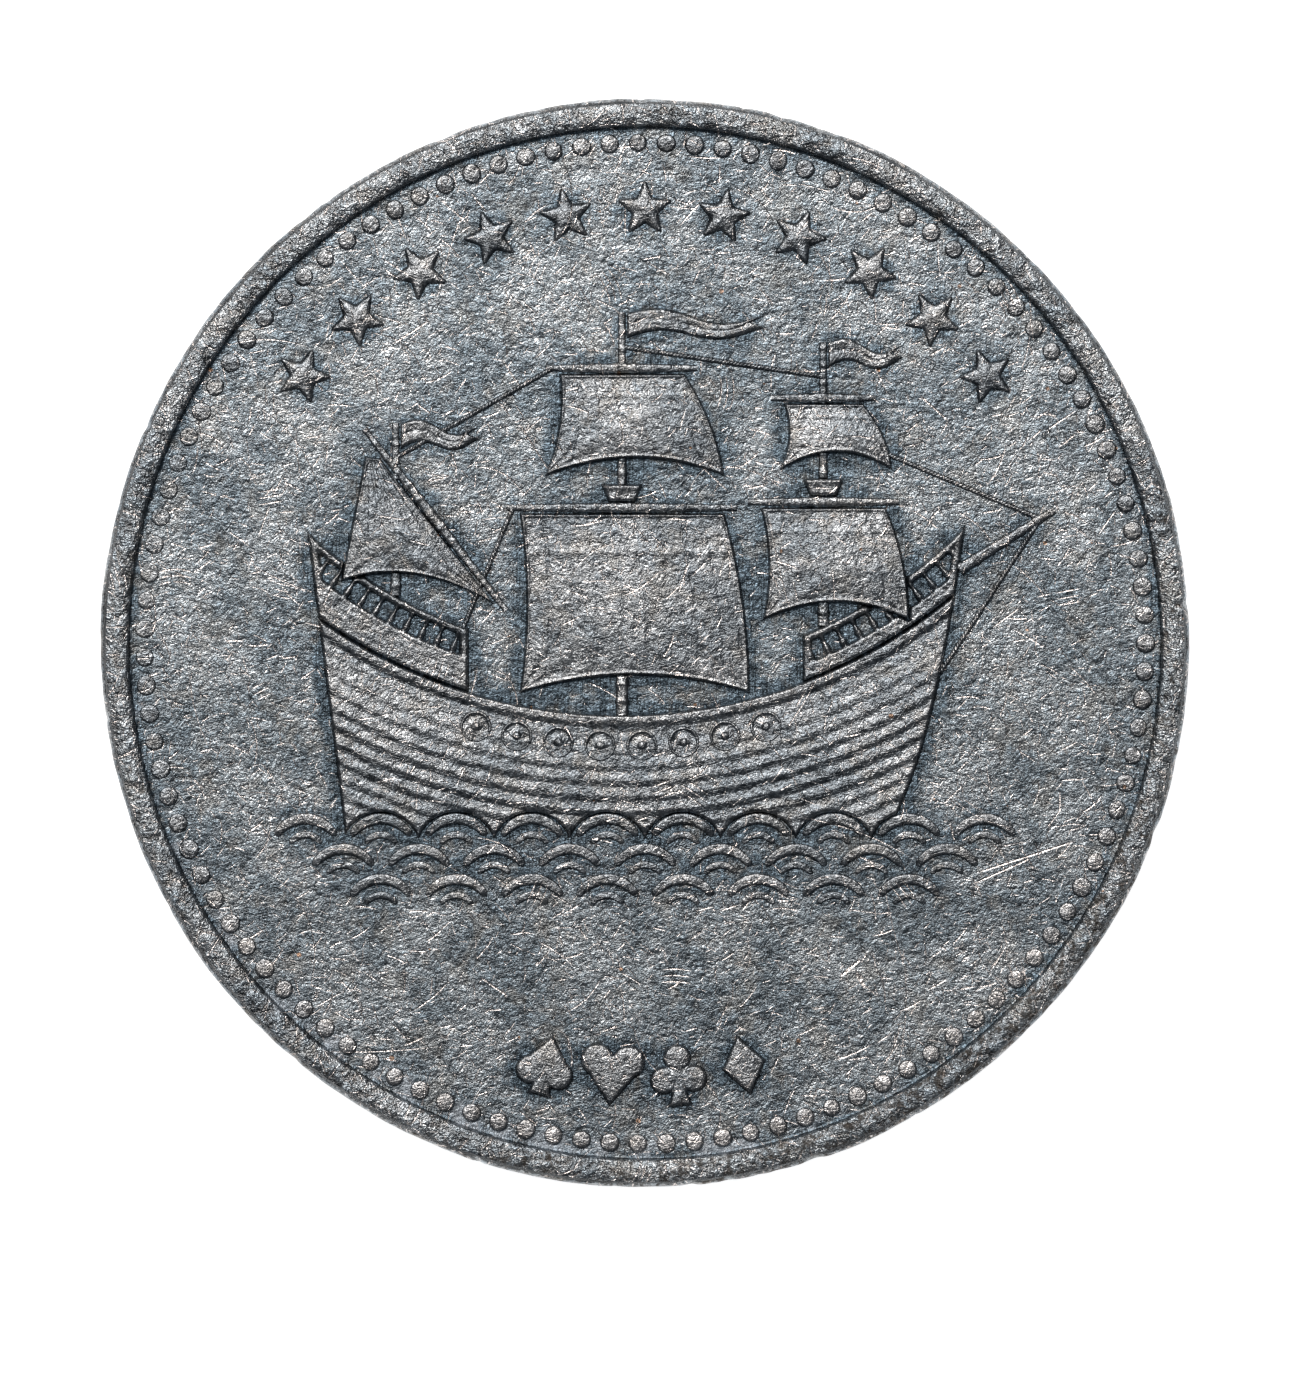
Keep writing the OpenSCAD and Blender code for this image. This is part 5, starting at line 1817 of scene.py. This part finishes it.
def repeated(name, form, face, values):
    """A piece that repeats a form round an arc."""
    model = solid(name + "_form", *form)
    piece = show(name, bpy.data.meshes.new(name))
    grown(piece, FORMS_ON_ARC, {"Form": model, "Material": RELIEF_METAL, **values})
    bpy.data.objects.remove(model)
    return settle(piece, face)


def barred(name, runs, face, flatness):
    """A piece of worn bars along drawn paths."""
    piece = drawn_path(name, runs)
    grown(piece, ROUNDED_BARS, {"Flatness": flatness, "Material": RELIEF_METAL})
    return settle(piece, face)


# Half outlines of the forms that repeat, in shares of their width and height
BEAD_FORM = turned([
    (0.0, 0.56), (0.36, 0.55), (0.435, 0.5), (0.475, 0.38), (0.5, 0.12), (0.51, -0.2),
], 16)
STUD_FORM = turned([
    (0.0, 1.0), (0.2, 0.95), (0.36, 0.75), (0.46, 0.4), (0.5, 0.0), (0.5, -0.2),
], 24)
SHIELD_FORM = turned([
    (0.0, 1.06), (0.05, 1.05), (0.1, 0.98), (0.125, 0.86), (0.15, 0.8), (0.28, 0.76), (0.36, 0.72),
    (0.385, 0.78), (0.41, 0.9), (0.44, 0.93), (0.475, 0.84), (0.495, 0.6), (0.5, 0.3), (0.5, -0.2),
], 48)

pieces = {}


def keep(piece, *nodes):
    """Lists a finished piece with the solids that it stands for."""
    pieces[piece] = nodes


keep(make_blank(), "blank")

BEAD_STEP = 2 * math.pi / BEAD_COUNT
WEAK_SIDE = math.radians(170)
for bead_name, bead_face, bead_seed, weak in (
    ("struck_obverse_beads", "obverse", 3, 0.62),
    ("struck_reverse_beads", "reverse", 11, 0.3),
):
    keep(repeated(bead_name, BEAD_FORM, bead_face, {
        "Count": BEAD_COUNT,
        "Ring Radius": BEAD_RING_R,
        "Step": BEAD_STEP,
        "Form Size": (BEAD_D, BEAD_D, BEAD_H),
        "Uneven": 0.07,
        "Weak Angle": WEAK_SIDE,
        "Weak Share": weak,
        "Seed": bead_seed,
    }), bead_name.replace("struck_", ""))

STAR_FORM = faceted_star([STAR_R] * 5, STAR_WAIST_R, STAR_H, STAR_WALL, STAR_BLUNT)
keep(repeated("struck_stars", STAR_FORM, "obverse", {
    "Count": STAR_COUNT,
    "Ring Radius": STAR_RING_R,
    "First Angle": math.pi / 2 - (STAR_COUNT - 1) / 2 * STAR_STEP,
    "Step": STAR_STEP,
    "Form Size": (1.0, 1.0, 1.0),
    "Uneven": 0.02,
    "Seed": 5,
}), "star_arc")
keep(carved("struck_suit_signs", suit_solids(), "obverse", share=0.5), "suit_row")

# Boxes in which the relief of the hull, the castles and the fighting tops is laid out
HULL_BOX = (-8.2, -5.2, 7.7, 1.9)
STERN_BOX = (-8.9, -1.5, -4.0, 3.2)
BOW_BOX = (3.6, -1.2, 8.6, 3.2)
NEST_BOXES = ((-1.2, 3.2, 0.1, 4.1), (3.6, 3.2, 4.9, 4.1))
keep(carved("struck_hull", [relief(HULL_BOX, side_depth, plank_height)], "obverse", share=0.32), "hull")
for castle_name, castle_box, castle_ends, castle_tall in (
    ("stern_castle", STERN_BOX, stern_ends, STERN_CASTLE_H),
    ("bow_castle", BOW_BOX, bow_ends, BOW_CASTLE_H),
):
    castle = relief(
        castle_box,
        lambda x, y: castle_work_depth(x, y, castle_ends, castle_tall),
        castle_height(castle_tall),
    )
    keep(carved("struck_" + castle_name, [castle], "obverse", share=0.5), castle_name)

SHIELD_ROW_R = SHEER_R + RAIL_W + SHIELD_DROP + SHIELD_D / 2
keep(repeated("struck_shields", SHIELD_FORM, "obverse", {
    "Count": SHIELD_COUNT,
    "Ring Radius": SHIELD_ROW_R,
    "Centre": (HULL_MID_X, SHEER_Y, 0.0),
    "First Angle": -math.pi / 2 - (SHIELD_COUNT - 1) / 2 * SHIELD_PITCH / SHIELD_ROW_R,
    "Step": SHIELD_PITCH / SHIELD_ROW_R,
    "Form Size": (SHIELD_D, SHIELD_D, SHIELD_H),
    "Uneven": 0.015,
    "Seed": 9,
}), "shields")

for sail_name, sail_place, sail_across, sail_tall, sail_seed in (
    ("main_course", SAIL_PLACES[0], 5.2, 4.3, 0.4),
    ("main_topsail", SAIL_PLACES[1], 3.6, 2.45, 1.7),
    ("fore_course", SAIL_PLACES[2], 3.2, 2.7, 2.9),
    ("fore_topsail", SAIL_PLACES[3], 2.3, 1.6, 4.1),
    ("mizzen_sail", SAIL_PLACES[4], 3.2, 3.9, 5.3),
):
    cloth = sail_solid(sail_place, sail_across, sail_tall, sail_seed)
    keep(carved("struck_" + sail_name, [cloth], "obverse", share=0.45), sail_name)

keep(barred("struck_masts", mast_runs(), "obverse", flatness=0.9), "masts")
keep(barred("struck_yards", yard_runs(), "obverse", flatness=0.95), "yards")
keep(barred("struck_bowsprit", sprit_runs(), "obverse", flatness=0.9), "bowsprit")
nests = [relief(box, nests_depth, nest_height) for box in NEST_BOXES]
keep(carved("struck_fighting_tops", nests, "obverse", share=0.6), "fighting_tops")
pennants = [pennant_solid(mast) for mast in (MAIN_MAST, FORE_MAST, MIZZEN_MAST)]
keep(carved("struck_pennants", pennants, "obverse", share=0.6), "pennants")

ropes = drawn_path("struck_rigging", rope_runs())
grown(ropes, TWISTED_ROPES, {
    "Strand Pitch": 0.085,
    "Strand Size": (0.105, 0.05, ROPE_H),
    "Twist": 0.55,
    "Material": RELIEF_METAL,
})
keep(settle(ropes, "obverse"), "rigging")

wave_points = [
    ((i - (CREST_COUNT - 1 - row) / 2) * CREST_PITCH, SEA_Y - row * SEA_ROW_DROP, 0.0)
    for row in range(SEA_ROWS)
    for i in range(CREST_COUNT - row)
]
wave_mesh = bpy.data.meshes.new("struck_sea")
wave_mesh.from_pydata(wave_points, [], [])
waves = show("struck_sea", wave_mesh)
grown(waves, WAVE_ROWS, {
    "Crest Radius": CREST_R,
    "Crest Width": CREST_W,
    "Ripple Radius": RIPPLE_R,
    "Ripple Width": RIPPLE_W,
    "From": CREST_FROM,
    "Material": RELIEF_METAL,
})
keep(settle(waves, "obverse"), "sea")

ROSE_TIPS = [ROSE_LONG, ROSE_SHORT] * 4
ROSE_FORM = faceted_star(ROSE_TIPS, ROSE_WAIST, ROSE_H, ROSE_WALL, ROSE_BLUNT, cell=2 * CELL)
keep(carved("struck_wind_rose", [ROSE_FORM], "reverse", share=0.4), "wind_rose")
ring_angles = np.linspace(0, 2 * math.pi, 361)[:-1]
ring_run = list(zip(ROSE_RING_R * np.cos(ring_angles), ROSE_RING_R * np.sin(ring_angles)))
keep(barred(
    "struck_rose_ring",
    [(ring_run, [ROSE_RING_W / 2] * len(ring_run), True)],
    "reverse",
    flatness=2 * ROSE_RING_H / ROSE_RING_W,
), "rose_ring")
STUD_STEP = 2 * math.pi / STUD_COUNT
keep(repeated("struck_rose_studs", STUD_FORM, "reverse", {
    "Count": STUD_COUNT,
    "Ring Radius": STUD_RING_R,
    "First Angle": STUD_STEP / 2,
    "Step": STUD_STEP,
    "Form Size": (STUD_D, STUD_D, ROSE_RING_H),
    "Uneven": 0.03,
    "Seed": 21,
}), "rose_studs")


# Shelter: how far a place lies under the mean height of what is round it, by which the finish paints shade
# with its patina in hollows

MAP_CELL = 0.07
MAP_HALF = TOKEN_R + 0.3
RAY_HEIGHT = 2.0
SHELTER_REACH = 5
SHELTER_FULL = 0.045
SHELTER_MOST = 2
POLISH_FROM = 0.3
POLISH_MIDDLE = 0.2
POLISH_FALL = 1.2
NO_SHADE = ("struck_blank", "struck_obverse_beads", "struck_reverse_beads")


def height_map(face):
    """Heights of the relief over a face's field, and of the rim round it, on a grid."""
    count = int(2 * MAP_HALF / MAP_CELL)
    axis = -MAP_HALF + MAP_CELL * (np.arange(count) + 0.5)
    x, y = np.meshgrid(axis, axis)
    heights = np.where(np.hypot(x, y) > FIELD_R + RIM_SLOPE / 2, RIM_H / 3, 0.0)
    heights[np.hypot(x, y) > TOKEN_R] = 0.0
    up = 1 if face == "obverse" else -1
    level = OBVERSE_Z if face == "obverse" else REVERSE_Z
    view = bpy.context.evaluated_depsgraph_get()
    for piece in pieces:
        places = places_of(piece)
        on_face = places[:, 2].mean() > TOKEN_T / 2
        if piece.name in NO_SHADE or on_face != (face == "obverse"):
            continue
        tree = BVHTree.FromObject(piece, view)
        low = np.floor((places.min(0) + MAP_HALF) / MAP_CELL).astype(int) - 1
        high = np.ceil((places.max(0) + MAP_HALF) / MAP_CELL).astype(int) + 1
        for j in range(low[1], high[1]):
            for i in range(low[0], high[0]):
                start = Vector((axis[i], axis[j], level + up * RAY_HEIGHT)) * MM
                hit = tree.ray_cast(start, Vector((0, 0, -up)))[0]
                if hit:
                    heights[j, i] = max(heights[j, i], up * (hit.z / MM - level))
    return heights


def write_shelter():
    """Stores the shelter of each point, above 0 in hollows, where the finish paints shade with the patina,
    and below 0 on proud edges, where it paints wear with a highlight.

    It also stores how far handling has polished the beads of the lower side.
    """
    means = {}
    for face in ("obverse", "reverse"):
        means[face] = box_blur(box_blur(height_map(face), SHELTER_REACH), SHELTER_REACH - 2)
    for piece in pieces:
        places = places_of(piece)
        shelter = np.zeros(len(places))
        for face, up, level in (("obverse", 1, OBVERSE_Z), ("reverse", -1, REVERSE_Z)):
            mine = (places[:, 2] > TOKEN_T / 2) == (face == "obverse")
            grid = np.clip((places[mine, :2] + MAP_HALF) / MAP_CELL - 0.5, 0, means[face].shape[0] - 2)
            i, j = np.floor(grid).astype(int).T
            fx, fy = (grid - np.floor(grid)).T
            m = means[face]
            around = (
                m[j, i] * (1 - fx) * (1 - fy) + m[j, i + 1] * fx * (1 - fy)
                + m[j + 1, i] * (1 - fx) * fy + m[j + 1, i + 1] * fx * fy
            )
            own = up * (places[mine, 2] - level)
            shelter[mine] = (around - own) / SHELTER_FULL
        store(piece.data, "shelter", np.clip(shelter, -SHELTER_MOST, SHELTER_MOST))
        polish = np.zeros(len(places))
        if piece.name == "struck_obverse_beads":
            proud = np.clip((places[:, 2] - OBVERSE_Z) / BEAD_H - POLISH_FROM, 0, 1)
            polish = proud * np.clip(POLISH_MIDDLE - POLISH_FALL * places[:, 1] / TOKEN_R, 0, 1)
        store(piece.data, "polish", polish)


write_shelter()


# Camera, light and floor

TABLE_HALF = 1.5
TABLE_COLOUR = (0.92, 0.92, 0.92, 1.0)
TABLE_GLOW = 0.95
ROOM_COLOUR = (0.78, 0.87, 1.0, 1.0)
ROOM_STRENGTH = 0.08


def add_camera():
    """A long lens straight above the token, framed as the photograph is."""
    pixel = TOKEN_R / PHOTO_TOKEN_R
    data = bpy.data.cameras.new("camera")
    data.sensor_width = SENSOR
    edge_z = TOKEN_T - EDGE_R
    data.lens = SENSOR * (CAMERA_HEIGHT - edge_z) / (PHOTO_H * pixel)
    data.clip_start = 0.01
    data.clip_end = 10.0
    camera = bpy.data.objects.new("camera", data)
    camera.location = (PHOTO_OFFSET[0] * pixel * MM, -PHOTO_OFFSET[1] * pixel * MM, CAMERA_HEIGHT * MM)
    bpy.context.scene.collection.objects.link(camera)
    bpy.context.scene.camera = camera


def add_softbox(name, place, size, power, colour):
    """A rectangular soft light at a place in metres, turned to the middle of the token."""
    data = bpy.data.lights.new(name, "AREA")
    data.shape = "RECTANGLE"
    data.size, data.size_y = size
    data.energy = power
    data.color = colour
    light = bpy.data.objects.new(name, data)
    light.location = place
    light.rotation_euler = (-Vector(place)).to_track_quat("-Z", "Y").to_euler()
    bpy.context.scene.collection.objects.link(light)


def add_floor():
    """A plain white table top."""
    material = bpy.data.materials.new("white_table")
    material.use_nodes = True
    shader = material.node_tree.nodes["Principled BSDF"]
    shader.inputs["Base Color"].default_value = TABLE_COLOUR
    shader.inputs["Roughness"].default_value = 0.7
    shader.inputs["Emission Color"].default_value = (1.0, 1.0, 1.0, 1.0)
    shader.inputs["Emission Strength"].default_value = TABLE_GLOW
    half = TABLE_HALF
    corners = [(-half, -half, 0), (half, -half, 0), (half, half, 0), (-half, half, 0)]
    floor = solid("table_top", corners, [(0, 1, 2, 3)])
    floor.data.materials.append(material)


def add_world():
    """A dim, even, bluish room."""
    world = bpy.data.worlds.new("room")
    world.use_nodes = True
    sky = world.node_tree.nodes["Background"]
    sky.inputs["Color"].default_value = ROOM_COLOUR
    sky.inputs["Strength"].default_value = ROOM_STRENGTH
    bpy.context.scene.world = world


add_camera()
add_world()
add_floor()
add_softbox("window", place=(-0.09, 0.28, 0.52), size=(0.4, 0.22), power=3.4, colour=(1.0, 0.95, 0.91))
add_softbox("ceiling", place=(0.0, 0.2, 0.6), size=(0.8, 0.5), power=0.16, colour=(0.88, 0.94, 1.0))
bpy.context.scene.view_settings.view_transform = "Standard"

for piece, nodes in pieces.items():
    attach(piece, "root")
    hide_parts(*nodes)
